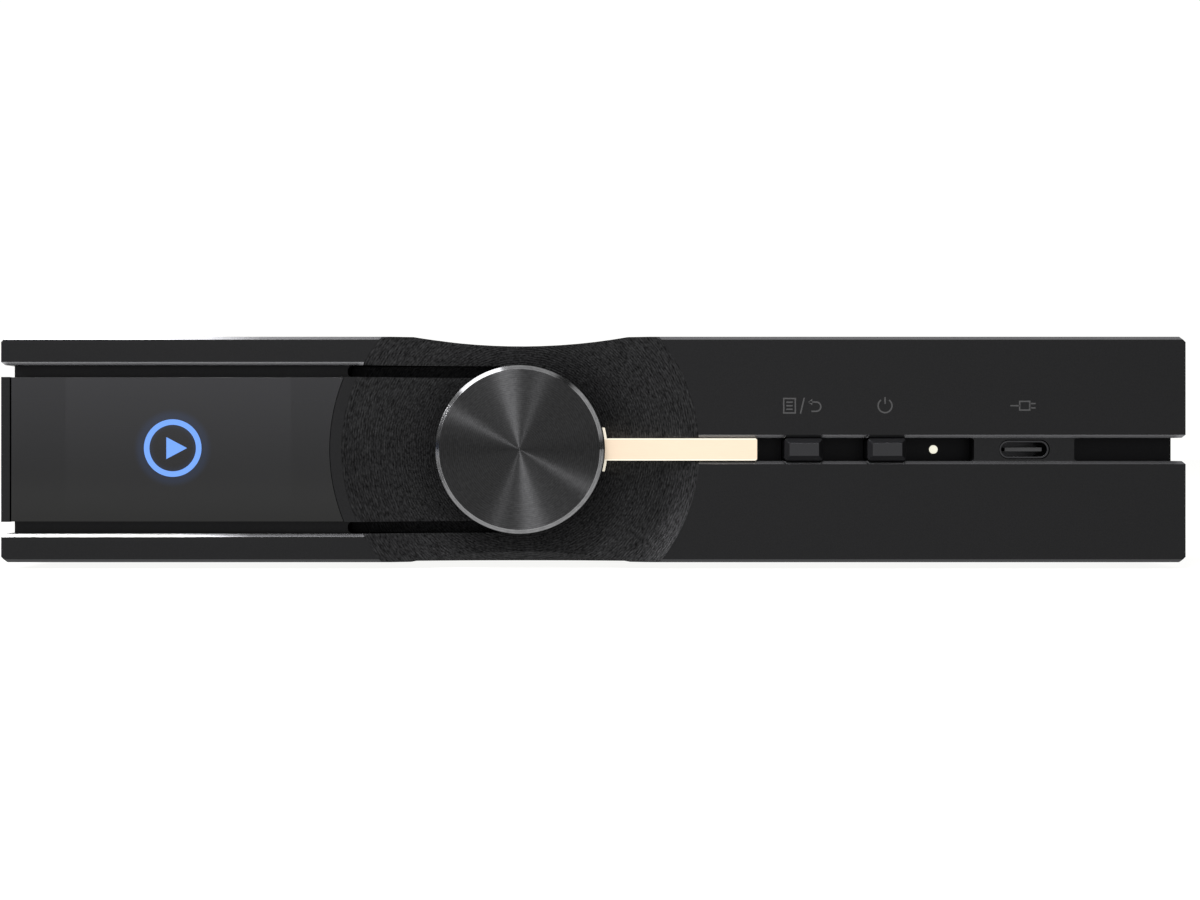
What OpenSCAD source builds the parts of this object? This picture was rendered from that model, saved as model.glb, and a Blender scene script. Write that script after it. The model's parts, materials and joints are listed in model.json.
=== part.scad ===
// Desktop digital audio player: a low, wide aluminium case with a display on the left,
// a round control knob in a scooped dish, and a slot on the right that holds an inlaid bar,
// two push buttons, a status light and a USB-C socket. Connectors are on the rear.
// Millimetres. +Z is up, the front faces -Y, and the origin is under the middle of the whole object.

/* [Case] */
// Width of the case, side to side
case_w = 214; // [210:1:225]
// Height of the case without its feet
case_h = 40.8; // [40:0.2:44]
// Depth of the case, front face to rear edge
case_d = 150; // [148:1:170]
// Thickness of the machined front panel
panel_t = 12; // [12:0.5:14]
// Thickness of the top and bottom walls
wall_t = 2.4; // [2:0.1:3]
// Thickness of the side walls, which the side grooves are cut into
side_t = 5; // [4.5:0.1:6]
// Chamfer on the long corner edges
corner_c = 1; // [0.5:0.1:1.5]
// Chamfer on the front edges and on the groove lips
edge_c = 0.55; // [0.4:0.05:0.8]

/* [Grooves] */
// Height of the display bar between the two left grooves
bar_h = 26.2; // [24:0.2:27]
// Height of each left groove
groove_h = 2.15; // [1.8:0.05:2.4]
// Depth of the left grooves
groove_depth = 2.5; // [2:0.1:3]
// Depth of the grooves along the sides
side_depth = 1.7; // [1.2:0.1:2.5]
// Height of the slot on the right
slot_h = 4.2; // [4:0.05:4.4]
// Depth of the slot on the right
slot_depth = 5; // [4:0.1:6]
// Depth of the slot's open end, past the USB-C socket
open_depth = 3.4; // [3:0.1:4.5]

/* [Knob and dish] */
// Sideways place of the knob's axis, from the middle of the case
knob_x = -13.2; // [-16:0.1:-10]
// Radius of the knob
knob_r = 15.1; // [14:0.1:15.2]
// How far the knob's face stands in front of the case
knob_proud = 4; // [3:0.1:6]
// Radius of the dish's rim
dish_r = 32.4; // [31:0.1:34]
// Radius of the sphere that shapes the dish
dish_sphere = 80; // [76:1:90]
// Radius of the display window's curved end, round the knob's axis
window_r = 34.4; // [34:0.1:36]
// Depth of the finger scoops at the front edge
scoop_depth = 1.75; // [1:0.05:1.8]
// How far back the top finger scoop runs out
scoop_run = 38; // [36:1:60]

/* [Controls] */
// Sideways place of the menu button
menu_x = 38; // [36:0.5:40]
// Sideways place of the power button
power_x = 53; // [51:0.5:55]
// Width of a button
button_w = 7; // [6.6:0.1:7.2]
// How far a button's face stands in front of the case
button_proud = 1; // [0.6:0.1:1.4]
// Travel of a button
button_travel = 0.5; // [0.3:0.1:0.6]
// Travel of the knob when it is pushed in
knob_travel = 0.5; // [0.3:0.1:0.5]
// Sideways place of the status light
light_x = 62.3; // [61.5:0.1:64]
// Sideways place of the USB-C socket
usb_c_x = 78; // [76:0.5:80]

/* [Feet] */
// Height of each rubber foot below the case
foot_h = 1.2; // [1:0.1:3]
// Radius of each rubber foot
foot_r = 6; // [5:0.5:7]

/* [Hidden] */

eps = 0.02;          // overlap of a cutter past a face
slack = 0.1;         // gap round a part that drops into a pocket
hair = 0.05;         // gap between a pin or screw and its hole
$fn = 96;

half_w = case_w / 2;
half_h = case_h / 2;
bar_z = bar_h / 2;
lip_z = bar_z + groove_h;
slot_z = slot_h / 2;
ceiling_z = half_h - wall_t;
cavity_x = half_w - side_t;

// Where the slot on the right changes: inlaid bar, buttons, light, socket land, open end.
accent_end = 29.6;
land_start = 68.9;
land_end = 87;
button_h = slot_h - 2 * slack;
button_bevel = 0.85;
button_corner = 0.4;
button_gap = 3.1;        // from a button's middle to where the slot's lips start
relief_depth = 0.3;

// Depths behind the front face.
dish_slot_depth = 8.5;
glass_t = 1.5;
tape_t = 0.15;
board_y = 19;
board_t = 1.6;
rear_t = 2;
rear_face = case_d - 1.5;
rear_in = rear_face - rear_t;
jack_proud = 9;
jack_tip = rear_face + jack_proud;

// The display window, the display behind it, and the ribbon down to the main board.
window_x0 = -half_w + 1.85;
window_gap = 0.3;
ribbon_x = -69;

// The seam of the cover and the tray on the left, the dish's centre, the scoops and the nut's seat.
seam_left = bar_z + groove_h / 2;
dish_centre = sqrt(pow(dish_sphere, 2) - pow(dish_r, 2));
scoop_chord = 19.9;
scoop_r = (pow(scoop_chord, 2) + pow(scoop_depth, 2)) / (2 * scoop_depth);
scoop_end = 4.8;
nut_seat = 7.4;

// Whole-object frame: the middle of the knob's face to the connectors' tips is at y = 0.
front_y = -(jack_tip - knob_proud) / 2;
mid_z = foot_h + half_h;

// Main board, in the panel's frame.
main_z = -12.9;
main_top = main_z + board_t;
main_w = 172;
main_y0 = 26;
main_y1 = 145;

// Places of repeated parts.
foot_places = [for (sx = [-1, 1], y = [28, 128]) [sx * 88, y]];
boss_places = [for (sx = [-1, 1], y = [46, 108]) [sx * 93, y]];
standoff_places = [for (x = [-80, 0, 80], y = [32, 122]) [x, y]];
front_screw_x = [-84, -58, 34, 92];
rear_screw_places = [for (sx = [-1, 1], sz = [-1, 1]) [sx * 97.5, sz * 13.4]];

// Rear connectors: sideways place, and height from the case's mid height.
lan_x = -12;
usb_host_x = -36;
optical_x = 12;
coax_x = 30;
balanced_x = 48;
line_x = 66;
dc_x = -84;
low_jack_z = -3.8;
high_jack_z = 10.2;
usb_host_z = [-7.4, 1.1];
rca_places = [[line_x, high_jack_z], [line_x, low_jack_z], [coax_x, low_jack_z]];

// The optical socket's flap closes it behind the rear panel; its hinge is along its top edge.
shutter_z = main_top + 8.2;
shutter_y = rear_in - 0.1;

// ---- helpers -------------------------------------------------------------

// Puts children in the panel's frame: y is the depth behind the front face, z is from mid height.
module in_case() {
    translate([0, front_y, mid_z]) children();
}

// A box from its two corners.
module block(x0, x1, y0, y1, z0, z1) {
    translate([x0, y0, z0]) cube([x1 - x0, y1 - y0, z1 - z0]);
}

// A flat (x, z) shape carried from depth a to depth b.
module deep(a, b) {
    translate([0, b, 0]) rotate([90, 0, 0]) linear_extrude(height = b - a) children();
}

// A flat (y, z) shape carried from x = a to x = b.
module across(a, b) {
    translate([a, 0, 0]) rotate([90, 0, 90]) linear_extrude(height = b - a) children();
}

// A round bar of radius r along y.
module rod(r, a, b, x = 0, z = 0) {
    translate([x, b, z]) rotate([90, 0, 0]) cylinder(r = r, h = b - a);
}

// A round bar that narrows from r0 at depth a to r1 at depth b.
module taper(r0, r1, a, b, x = 0, z = 0) {
    translate([x, b, z]) rotate([90, 0, 0]) cylinder(r1 = r1, r2 = r0, h = b - a);
}

// A flat rounded rectangle centred on the origin.
module pill(w, h, r) {
    if (w - 2 * r > 0.01) square([w - 2 * r, h], center = true);
    if (h - 2 * r > 0.01) square([w, h - 2 * r], center = true);
    for (sx = [-1, 1], sz = [-1, 1])
        translate([sx * (w / 2 - r), sz * (h / 2 - r)]) circle(r = r, $fn = 48);
}

// A pan-head screw along +y: its head's outside is at depth a, its point at depth a + head + len.
module screw_y(x, z, a, len, shank = 1.45, head = 2.7, head_t = 1.7, dir = 1) {
    translate([x, a, z]) rotate([dir > 0 ? -90 : 90, 0, 0]) pan_screw(len, shank, head, head_t);
}

// A pan-head screw that points along +z, with a hexagonal recess in its head.
module pan_screw(len, shank, head, head_t) {
    difference() {
        union() {
            cylinder(r1 = head - 0.35, r2 = head, h = 0.35);
            translate([0, 0, 0.35]) cylinder(r = head, h = head_t - 0.35);
            translate([0, 0, head_t - eps]) cylinder(r = shank, h = len + eps);
        }
        translate([0, 0, -eps]) cylinder(r = head * 0.48, h = head_t * 0.6, $fn = 6);
    }
}

// ---- case ----------------------------------------------------------------

// The case's outline seen from the front: two grooves on the left side, one on the right.
module case_outline() {
    polygon([
        [-half_w + corner_c, -half_h], [half_w - corner_c, -half_h],
        [half_w, -half_h + corner_c], [half_w, -slot_z - edge_c],
        [half_w - edge_c, -slot_z], [half_w - side_depth, -slot_z],
        [half_w - side_depth, slot_z], [half_w - edge_c, slot_z],
        [half_w, slot_z + edge_c], [half_w, half_h - corner_c],
        [half_w - corner_c, half_h], [-half_w + corner_c, half_h],
        [-half_w, half_h - corner_c], [-half_w, lip_z + edge_c],
        [-half_w + edge_c, lip_z], [-half_w + side_depth, lip_z],
        [-half_w + side_depth, bar_z], [-half_w, bar_z],
        [-half_w, -bar_z], [-half_w + side_depth, -bar_z],
        [-half_w + side_depth, -lip_z], [-half_w + edge_c, -lip_z],
        [-half_w, -lip_z - edge_c], [-half_w, -half_h + corner_c]
    ]);
}

// The inside of the case, seen from the front.
module cavity_outline() {
    square([2 * cavity_x, 2 * ceiling_z], center = true);
}

// The finger scoop in the top edge: a large round cutter that leans back until it leaves the surface.
module top_scoop() {
    translate([knob_x, 0, half_h - scoop_depth])
        rotate([atan(scoop_depth / scoop_run), 0, 0])
            translate([0, 0, scoop_r])
                rotate([90, 0, 0])
                    cylinder(r = scoop_r, h = 160, center = true, $fn = 360);
}

// The scoop in the bottom edge: the same arc, but it ends in a bevel just behind the dish.
module bottom_scoop() {
    z = -half_h + scoop_depth - scoop_r;
    run_out = scoop_depth + 1;
    rod(scoop_r, -1, scoop_end, knob_x, z, $fn = 360);
    taper(scoop_r, scoop_r - run_out, scoop_end - eps, scoop_end + run_out, knob_x, z, $fn = 360);
}

// The wedge that chamfers a lip at height z; side is the way the groove lies from the lip.
module lip_wedge(z, side, x0, x1, c = edge_c) {
    across(x0, x1) polygon([
        [-eps, z - side * (c + eps)], [c + eps, z + side * eps], [-eps, z + side * eps]
    ]);
}

// The cutter for one chamfered length of the right-hand slot, mitred at both ends.
module slot_lip(x0, x1) {
    wedge(x0, x1, -slot_z - edge_c, slot_z + edge_c, 0, edge_c);
}

// The shallow relief in the slot's edges above and below a button.
module button_relief(x) {
    end = button_gap + edge_c;
    lip = slot_z + edge_c;
    across(x - end, x + end) polygon([
        [-1, -lip], [0, -lip], [relief_depth, -slot_z],
        [relief_depth, slot_z], [0, lip], [-1, lip]
    ]);
}

// A block with four sloping sides: the full size at depth y0, smaller by the slope at depth y1.
module wedge(x0, x1, z0, z1, y0, y1) {
    in = abs(y1 - y0);
    over = eps * sign(y1 - y0);
    intersection() {
        across(x0 - 1, x1 + 1) polygon([
            [y0 - over, z0 - eps], [y1 + over, z0 + in + eps],
            [y1 + over, z1 - in - eps], [y0 - over, z1 + eps]
        ]);
        translate([0, 0, z0 - 1]) linear_extrude(height = z1 - z0 + 2) polygon([
            [x0 - eps, y0 - over], [x0 + in + eps, y1 + over],
            [x1 - in - eps, y1 + over], [x1 + eps, y0 - over]
        ]);
    }
}

// The chamfers on the long front edges and on the outer lips of the left grooves.
module front_edge_cuts() {
    for (side = [-1, 1]) {
        lip_wedge(side * half_h, side, -half_w - 1, half_w + 1);
        lip_wedge(side * lip_z, -side, -half_w - 1, knob_x - 12);
    }
}

// The grooves on the left, with the deeper slots that carry them across the dish.
module left_grooves() {
    for (side = [-1, 1]) {
        z = side * (bar_z + groove_h / 2);
        block(-half_w - 1, knob_x - 20, -1, groove_depth, z - groove_h / 2, z + groove_h / 2);
        deep(-1, dish_slot_depth) translate([knob_x - 17.25, z]) pill(28.5, groove_h, 0.9);
    }
}

// The scooped dish round the knob, and the flat seat under the knob's nut.
module dish() {
    translate([knob_x, -dish_centre, 0]) sphere(r = dish_sphere, $fn = 360);
    rod(9, 0, nut_seat, knob_x);
    rod(3.7, 0, panel_t + 1, knob_x);
}

// The slot on the right, from the knob to the open end, without the socket's land.
module right_slot() {
    deep(-1, slot_depth) translate([(knob_x + land_start) / 2, 0])
        pill(land_start - knob_x, slot_h, 0.6);
    deep(-1, open_depth) translate([(land_end + half_w + 4) / 2, 0])
        pill(half_w + 4 - land_end, slot_h, 0.6);
    block(land_start - 1, land_end + 1, -1, edge_c, -slot_z, slot_z);
}

// A button seen from the front: a rectangle with its corners cut off, grown on every side.
module button_outline(grow = 0) {
    w = button_w / 2 + grow;
    h = button_h / 2 + grow;
    c = button_corner;
    polygon([
        [-w + c, -h], [w - c, -h], [w, -h + c], [w, h - c],
        [w - c, h], [-w + c, h], [-w, h - c], [-w, -h + c]
    ]);
}

// Holes through the web behind the slot: buttons, light, USB-C socket and its board.
module slot_holes() {
    for (x = [menu_x, power_x]) deep(-1, panel_t + 1) translate([x, 0]) button_outline(slack);
    rod(0.8, slot_depth - 1, panel_t + 1, light_x);
    deep(-1, panel_t + 1) translate([usb_c_x, 0]) pill(9.2, 3.5, 1.7);
    block(usb_c_x - 8, usb_c_x + 8, 5, panel_t + 1, -4.5, slot_z);
}

// The display window: straight at its left end, and curved round the knob's axis at its right end.
module window_shape(grow = 0) {
    difference() {
        translate([window_x0 - grow * window_gap, -bar_z + (1 - grow) * slack])
            square([70, bar_h - 2 * (1 - grow) * slack]);
        translate([knob_x, 0]) circle(r = window_r - grow * slack + slack, $fn = 240);
    }
}

module front_panel() {
    color("#28282a") in_case() difference() {
        deep(0, panel_t) case_outline();
        front_edge_cuts();
        left_grooves();
        dish();
        right_slot();
        slot_lip(knob_x + knob_r, menu_x - button_gap);
        slot_lip(menu_x + button_gap, power_x - button_gap);
        slot_lip(power_x + button_gap, half_w + 2);
        for (x = [menu_x, power_x]) button_relief(x);
        slot_holes();
        // pocket for the window, and the opening for the display behind it
        deep(-1, glass_t + tape_t) window_shape(grow = 1);
        block(-98, -52, 0, panel_t + 1, -10.5, 10.5);
        block(-101, -50, 6, panel_t + 1, -12, 12);
        top_scoop();
        bottom_scoop();
        for (x = front_screw_x) rod(1.5, panel_t - 6, panel_t + 1, x, -15.2);
    }
}

// The extruded sleeve that the cover and the tray are both cut from.
module sleeve() {
    deep(panel_t, case_d) difference() {
        case_outline();
        cavity_outline();
    }
}

// Above the seam of the cover and the tray, which lies in the upper left groove and the right one.
module above_seam() {
    block(-half_w - 1, 0, panel_t - 1, case_d + 1, seam_left, half_h + 1);
    block(0, half_w + 1, panel_t - 1, case_d + 1, 0, half_h + 1);
}

module top_cover() {
    color("#28282a") in_case() difference() {
        union() {
            intersection() { sleeve(); above_seam(); }
            for (p = boss_places) translate([p[0], p[1], -8])
                cylinder(r = 3.4, h = ceiling_z + 8 + eps);
            for (p = rear_screw_places) if (p[1] > 0)
                block(p[0] - 3.5, p[0] + 3.5, rear_in - 14, rear_in, p[1] - 3.5, ceiling_z + eps);
        }
        top_scoop();
        for (p = boss_places) translate([p[0], p[1], -9]) cylinder(r = 1.5, h = 16);
        for (p = rear_screw_places) if (p[1] > 0) rod(1.5, rear_in - 10, rear_in + 1, p[0], p[1]);
    }
}

// Vent slots through the tray's floor, in two rows.
module vents() {
    for (i = [0 : 10], y = [62, 92])
        translate([-50 + i * 10, y, -half_h - 1])
            linear_extrude(height = wall_t + 2) pill(2.2, 22, 1.1);
}

module bottom_tray() {
    color("#28282a") in_case() difference() {
        union() {
            difference() { sleeve(); above_seam(); }
            for (p = boss_places) translate([p[0], p[1], -ceiling_z - eps])
                cylinder(r = 3.4, h = ceiling_z - 8 + eps);
            for (p = rear_screw_places) if (p[1] < 0)
                block(p[0] - 3.5, p[0] + 3.5, rear_in - 14, rear_in, -ceiling_z - eps, p[1] + 3.5);
            // front flange that the panel is screwed to
            block(-cavity_x, cavity_x, panel_t, panel_t + 2.5, -ceiling_z - eps, -12.6);
        }
        vents();
        for (p = boss_places) {
            translate([p[0], p[1], -half_h - 1]) cylinder(r = 1.6, h = 20);
            translate([p[0], p[1], -half_h - 1]) cylinder(r = 3, h = 3.2);
        }
        for (p = foot_places) translate([p[0], p[1], -half_h - 1]) cylinder(r = foot_r + hair, h = 1.8);
        for (p = rear_screw_places) if (p[1] < 0) rod(1.5, rear_in - 10, rear_in + 1, p[0], p[1]);
        for (x = front_screw_x) rod(1.6, panel_t - 1, panel_t + 4, x, -15.2);
    }
}

module rubber_feet() {
    color("#161616") in_case() for (p = foot_places) translate([p[0], p[1], -half_h - foot_h]) {
        cylinder(r1 = foot_r - 0.4, r2 = foot_r, h = 0.4);
        translate([0, 0, 0.4 - eps]) cylinder(r = foot_r, h = foot_h + 0.4 + eps);
    }
}

module rear_panel() {
    color("#202022") in_case() difference() {
        block(-cavity_x + slack, cavity_x - slack, rear_in, rear_face,
              -ceiling_z + slack, ceiling_z - slack);
        for (p = rear_screw_places) rod(1.6, rear_in - 1, rear_face + 1, p[0], p[1]);
        block(lan_x - 8.1 - slack, lan_x + 8.1 + slack, rear_in - 1, rear_face + 1,
              main_top - slack, main_top + 13.6 + slack);
        for (z = usb_host_z)
            block(usb_host_x - 6.6 - slack, usb_host_x + 6.6 + slack, rear_in - 1, rear_face + 1,
                  z - 2.9 - slack, z + 2.9 + slack);
        block(optical_x - 4.9 - slack, optical_x + 4.9 + slack, rear_in - 1, rear_face + 1,
              main_top - slack, main_top + 9.8 + slack);
        for (p = rca_places) rod(5, rear_in - 1, rear_face + 1, p[0], p[1]);
        rod(4.6, rear_in - 1, rear_face + 1, balanced_x, low_jack_z);
        rod(4.3, rear_in - 1, rear_face + 1, dc_x, low_jack_z);
    }
}

// ---- display -------------------------------------------------------------

module display_window() {
    color("#3a3a3c") in_case() deep(0, glass_t) window_shape();
}

module window_gasket() {
    color("#0c0c0c") in_case() deep(glass_t, glass_t + tape_t) difference() {
        window_shape();
        translate([-98, -10.5]) square([46, 21]);
    }
}

module display_module() {
    color("#101216") in_case() {
        difference() {
            block(-97.5, -52.5, glass_t + tape_t + 0.2, 6, -10.2, 10.2);
            block(-95.7, -54.4, 0, glass_t + tape_t + 0.5, -9.2, 9.2);
        }
        block(-95.6, -54.5, 1.75, 2.2, -9.1, 9.1);
    }
}

module display_bracket() {
    color("#2c2c30") in_case() difference() {
        block(-100.8, -50.2, 6, 8, -11.8, 11.8);
        block(ribbon_x - 8, ribbon_x + 8, 5, 9, 6, 11);
        for (x = [-99.4, -51.6], z = [-9, 9]) rod(0.9, 5, 9, x, z);
    }
}

module display_ribbon() {
    color("#d9d2b8") in_case() across(ribbon_x - 6, ribbon_x + 6) polygon([
        [6, 6.8], [14.4, 6.8], [14.6, 6.6], [14.6, -10.9],
        [15, -11.3], [32, -11.3], [32, -11.1], [15.1, -11.1], [14.8, -10.8],
        [14.8, 6.8], [14.6, 7], [6, 7]
    ]);
}

// ---- inlaid bar and controls ---------------------------------------------

// The champagne bar in the slot, with a short curved head beside the knob.
module accent_bar() {
    z = slot_z - slack;
    head_z = 3.95;
    color("#e8cfa8") in_case() difference() {
        union() {
            deep(0.1, slot_depth) translate([(accent_end + knob_x + 15.4) / 2, 0])
                pill(accent_end - knob_x - 15.4, 2 * z, 0.4);
            intersection() {
                rod(15.75, 0.1, slot_depth - 0.3, knob_x);
                block(knob_x + 10, knob_x + 20, 0, slot_depth, -head_z, head_z);
            }
        }
        rod(knob_r + 0.2, -1, slot_depth + 1, knob_x);
    }
}

module knob_cap() {
    skirt_y = 4.4;
    color("#2e2e30") in_case() difference() {
        union() {
            taper(knob_r - 0.75, knob_r, -knob_proud, -knob_proud + 0.75, knob_x);
            rod(knob_r, -knob_proud + 0.75 - eps, skirt_y, knob_x);
        }
        difference() {
            rod(knob_r - 2, -1.2, skirt_y + 1, knob_x);
            rod(5.4, -1.2, skirt_y - 1.4, knob_x);
        }
        rod(3 + hair, -1.2, skirt_y + 1, knob_x);
        translate([knob_x, 1.2, -6]) cylinder(r = 1.2 + hair, h = 4);
    }
}

module knob_set_screw() {
    color("#707274") in_case() translate([knob_x, 1.2, -5.3]) difference() {
        cylinder(r = 1.2, h = 2.8);
        translate([0, 0, -eps]) cylinder(r = 0.65, h = 1, $fn = 6);
    }
}

module encoder_shaft() {
    color("#b8bbbe") in_case() difference() {
        rod(3, -1.1, 18, knob_x);
        block(knob_x - 4, knob_x + 4, -2, 3, -4, -2.5);
    }
}

module encoder_body() {
    color("#8a8c8e") in_case() difference() {
        union() {
            block(knob_x - 6.2, knob_x + 6.2, panel_t, board_y, -6.6, 6.6);
            rod(3.6, 5, panel_t + eps, knob_x);
        }
        rod(3 + hair, 0, 18.2 + knob_travel, knob_x);
        rod(1.5, 18.6, board_y + 1, knob_x);
    }
}

module encoder_nut() {
    color("#a6a8aa") in_case() difference() {
        union() {
            rod(6.4, nut_seat - 0.5, nut_seat, knob_x);
            translate([knob_x, nut_seat - 0.5, 0]) rotate([90, 0, 0])
                cylinder(r = 5.6, h = 1.7, $fn = 6);
        }
        rod(3.6 + hair, 0, nut_seat + 1, knob_x);
    }
}

// The switch plunger behind the shaft: it slides but doesn't turn.
module encoder_plunger() {
    color("#e4e4e0") in_case() rod(1.45, 18.05, 20.4, knob_x);
}

module button(x) {
    w = button_w / 2;
    h = button_h / 2;
    b = button_bevel;
    in_case() {
        intersection() {
            wedge(x - w, x + w, -h, h, -button_proud + b, -button_proud);
            deep(-button_proud, 1) translate([x, 0]) button_outline();
        }
        deep(-button_proud + b, panel_t + 0.6) translate([x, 0]) button_outline();
        block(x - w - 1, x + w + 1, panel_t + 0.1, panel_t + 1.2, -h - 1.2, h + 1.2);
    }
}

module menu_button() { color("#38383a") button(menu_x); }
module power_button() { color("#38383a") button(power_x); }

module tact_switch(x) {
    in_case() difference() {
        block(x - 3, x + 3, 15.6, board_y, -3, 3);
        rod(1.7 + hair, 15, 17.1 + button_travel, x);
    }
}

module switch_stem(x) {
    in_case() rod(1.7, panel_t + 1.2, 16.8, x);
}

module menu_switch() { color("#1c1c1e") tact_switch(menu_x); }
module power_switch() { color("#1c1c1e") tact_switch(power_x); }
module menu_switch_stem() { color("#c8b070") switch_stem(menu_x); }
module power_switch_stem() { color("#c8b070") switch_stem(power_x); }

module status_light_pipe() {
    color("#f2efe0") in_case() {
        taper(0.5, 0.75, slot_depth - 0.35, slot_depth - 0.1, light_x);
        rod(0.75, slot_depth - 0.1 - eps, 17.4, light_x);
        rod(1.5, panel_t, panel_t + 1, light_x);
    }
}

module status_led() {
    color("#fff6d8") in_case() block(light_x - 0.8, light_x + 0.8, 18.2, board_y, -0.5, 0.5);
}

// ---- front USB-C socket --------------------------------------------------

module usb_c_shell() {
    color("#9a9c9e") in_case() difference() {
        deep(0.9, 10) translate([usb_c_x, 0]) pill(8.94, 3.2, 1.6);
        deep(0, 9.4) translate([usb_c_x, 0]) pill(8.34, 2.6, 1.3);
    }
}

module usb_c_tongue() {
    color("#18181a") in_case() block(usb_c_x - 3.35, usb_c_x + 3.35, 1.6, 9.4, -0.35, 0.35);
}

module usb_c_board() {
    color("#123a2a") in_case() block(usb_c_x - 7.5, usb_c_x + 7.5, 5.4, 18.8, -3.2, -1.65);
}

// ---- boards and what they carry ------------------------------------------

module front_board() {
    color("#123a2a") in_case() difference() {
        block(knob_x - 14, 94, board_y, board_y + board_t, -8.6, 14);
        rod(1.5, board_y - 1, board_y + board_t + 1, knob_x);
    }
}

module front_ribbon() {
    color("#d9d2b8") in_case() across(8, 24) polygon([
        [20.6, -3], [20.6, -5], [22, -5], [22.2, -5.2], [22.2, -10.9], [22.6, -11.3],
        [34, -11.3], [34, -11.1], [22.7, -11.1], [22.4, -10.8], [22.4, -5], [22.2, -4.8],
        [20.8, -4.8], [20.8, -3]
    ]);
}

module main_board() {
    color("#123a2a") in_case() difference() {
        block(-main_w / 2, main_w / 2, main_y0, main_y1, main_z, main_top);
        for (p = standoff_places) translate([p[0], p[1], main_z - 1]) cylinder(r = 1.6, h = 4);
    }
}

module board_standoffs() {
    color("#c9a24a") in_case() for (p = standoff_places) translate([p[0], p[1], -ceiling_z])
        difference() {
            cylinder(r = 2.9, h = main_z + ceiling_z, $fn = 6);
            translate([0, 0, 1]) cylinder(r = 1.3, h = 10);
        }
}

module board_screws() {
    color("#a8aaac") in_case() for (p = standoff_places)
        translate([p[0], p[1], main_top + 1.4]) rotate([180, 0, 0]) pan_screw(4.4, 1.25, 2.4, 1.4);
}

module processor_module() {
    color("#1a3350") in_case() {
        block(-58, -10, 48, 92, -7.6, -6.4);
        for (y = [50, 86]) block(-56, -12, y, y + 4, main_top, -7.6 + eps);
        block(-42, -26, 62, 78, -6.4 - eps, -4.8);
        for (x = [-54, -22]) block(x, x + 9, 66, 78, -6.4 - eps, -5.3);
    }
}

module heatsink() {
    color("#3c3e42") in_case() {
        block(-46, -22, 58, 82, -4.8, -2.8);
        for (i = [0 : 7]) block(-46 + i * 3.2, -44.4 + i * 3.2, 58, 82, -2.8 - eps, 6);
    }
}

module shield_can() {
    color("#b4b6b8") in_case() difference() {
        block(26, 66, 56, 92, main_top, -6.5);
        block(26.4, 65.6, 56.4, 91.6, main_top - 1, -6.9);
        for (i = [0 : 5], j = [0 : 4])
            translate([31 + i * 6, 61 + j * 6.5, -8]) cylinder(r = 1, h = 3, $fn = 24);
    }
}

module power_capacitors() {
    color("#22304a") in_case() for (i = [0 : 4]) translate([-78, 44 + i * 14, main_top]) {
        cylinder(r = 5, h = 16);
        translate([0, 0, 16 - eps]) cylinder(r1 = 5, r2 = 4.5, h = 0.5);
    }
}

module inductors() {
    color("#3a3632") in_case() for (p = [[-64, 100], [-64, 114], [72, 44]])
        translate([p[0], p[1], main_top]) {
            block(-5, 5, -5, 5, 0, 4.5);
            translate([0, 0, 4.5 - eps]) cylinder(r = 3.6, h = 0.6);
        }
}

module clock_crystals() {
    color("#c4c6c8") in_case() for (y = [102, 116]) translate([12, y, main_top])
        linear_extrude(height = 3.5) pill(11, 4.7, 2.3);
}

module audio_chips() {
    color("#141416") in_case() {
        for (p = [[40, 70], [52, 80]]) block(p[0] - 4, p[0] + 4, p[1] - 4, p[1] + 4, main_top, -9.9);
        for (p = [[-5, 104], [30, 106], [-40, 110], [50, 112], [0, 52]])
            block(p[0] - 5, p[0] + 5, p[1] - 4, p[1] + 4, main_top, -9.8);
    }
}

// ---- fasteners -----------------------------------------------------------

module cover_screws() {
    color("#303032") in_case() for (p = boss_places) translate([p[0], p[1], -half_h + 0.2])
        pan_screw(18, 1.45, 2.8, 1.9);
}

module front_panel_screws() {
    color("#a8aaac") in_case() for (x = front_screw_x) screw_y(x, -15.2, panel_t + 4.2, 7.6, dir = -1);
}

module rear_panel_screws() {
    color("#303032") in_case() for (p = rear_screw_places)
        screw_y(p[0], p[1], rear_face + 1.3, 9.4, head_t = 1.3, dir = -1);
}

// ---- rear connectors -----------------------------------------------------

module rca_housing() {
    color("#19191b") in_case() difference() {
        union() {
            block(line_x - 5, line_x + 5, rear_in - 12, rear_in, main_top, 16);
            block(coax_x - 5, coax_x + 5, rear_in - 12, rear_in, main_top, 1.5);
        }
        for (p = rca_places) rod(4.2, rear_in - 2, rear_in + 1, p[0], p[1]);
    }
}

// A socket's plated barrel with its flange, and its centre contact.
module rca_barrels() {
    color("#d8b45a") in_case() for (p = rca_places) {
        difference() {
            union() {
                rod(4.15, rear_in - 2, jack_tip, p[0], p[1]);
                rod(5.6, rear_face, rear_face + 1, p[0], p[1]);
            }
            rod(3.6, rear_in - 3, jack_tip + 1, p[0], p[1]);
        }
        difference() {
            rod(1.95, rear_in - 1.9, jack_tip - 1, p[0], p[1]);
            rod(1.62, rear_in - 1, jack_tip + 1, p[0], p[1]);
        }
    }
}

module rca_insulator(p) {
    in_case() difference() {
        rod(3.6 - hair, rear_in - 1.9, jack_tip - 0.6, p[0], p[1]);
        rod(1.95 + hair, rear_in - 3, jack_tip + 1, p[0], p[1]);
    }
}

module line_left_insulator() { color("#e9e9e4") rca_insulator(rca_places[0]); }
module line_right_insulator() { color("#b3201f") rca_insulator(rca_places[1]); }
module coax_insulator() { color("#1a1a1c") rca_insulator(rca_places[2]); }

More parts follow.
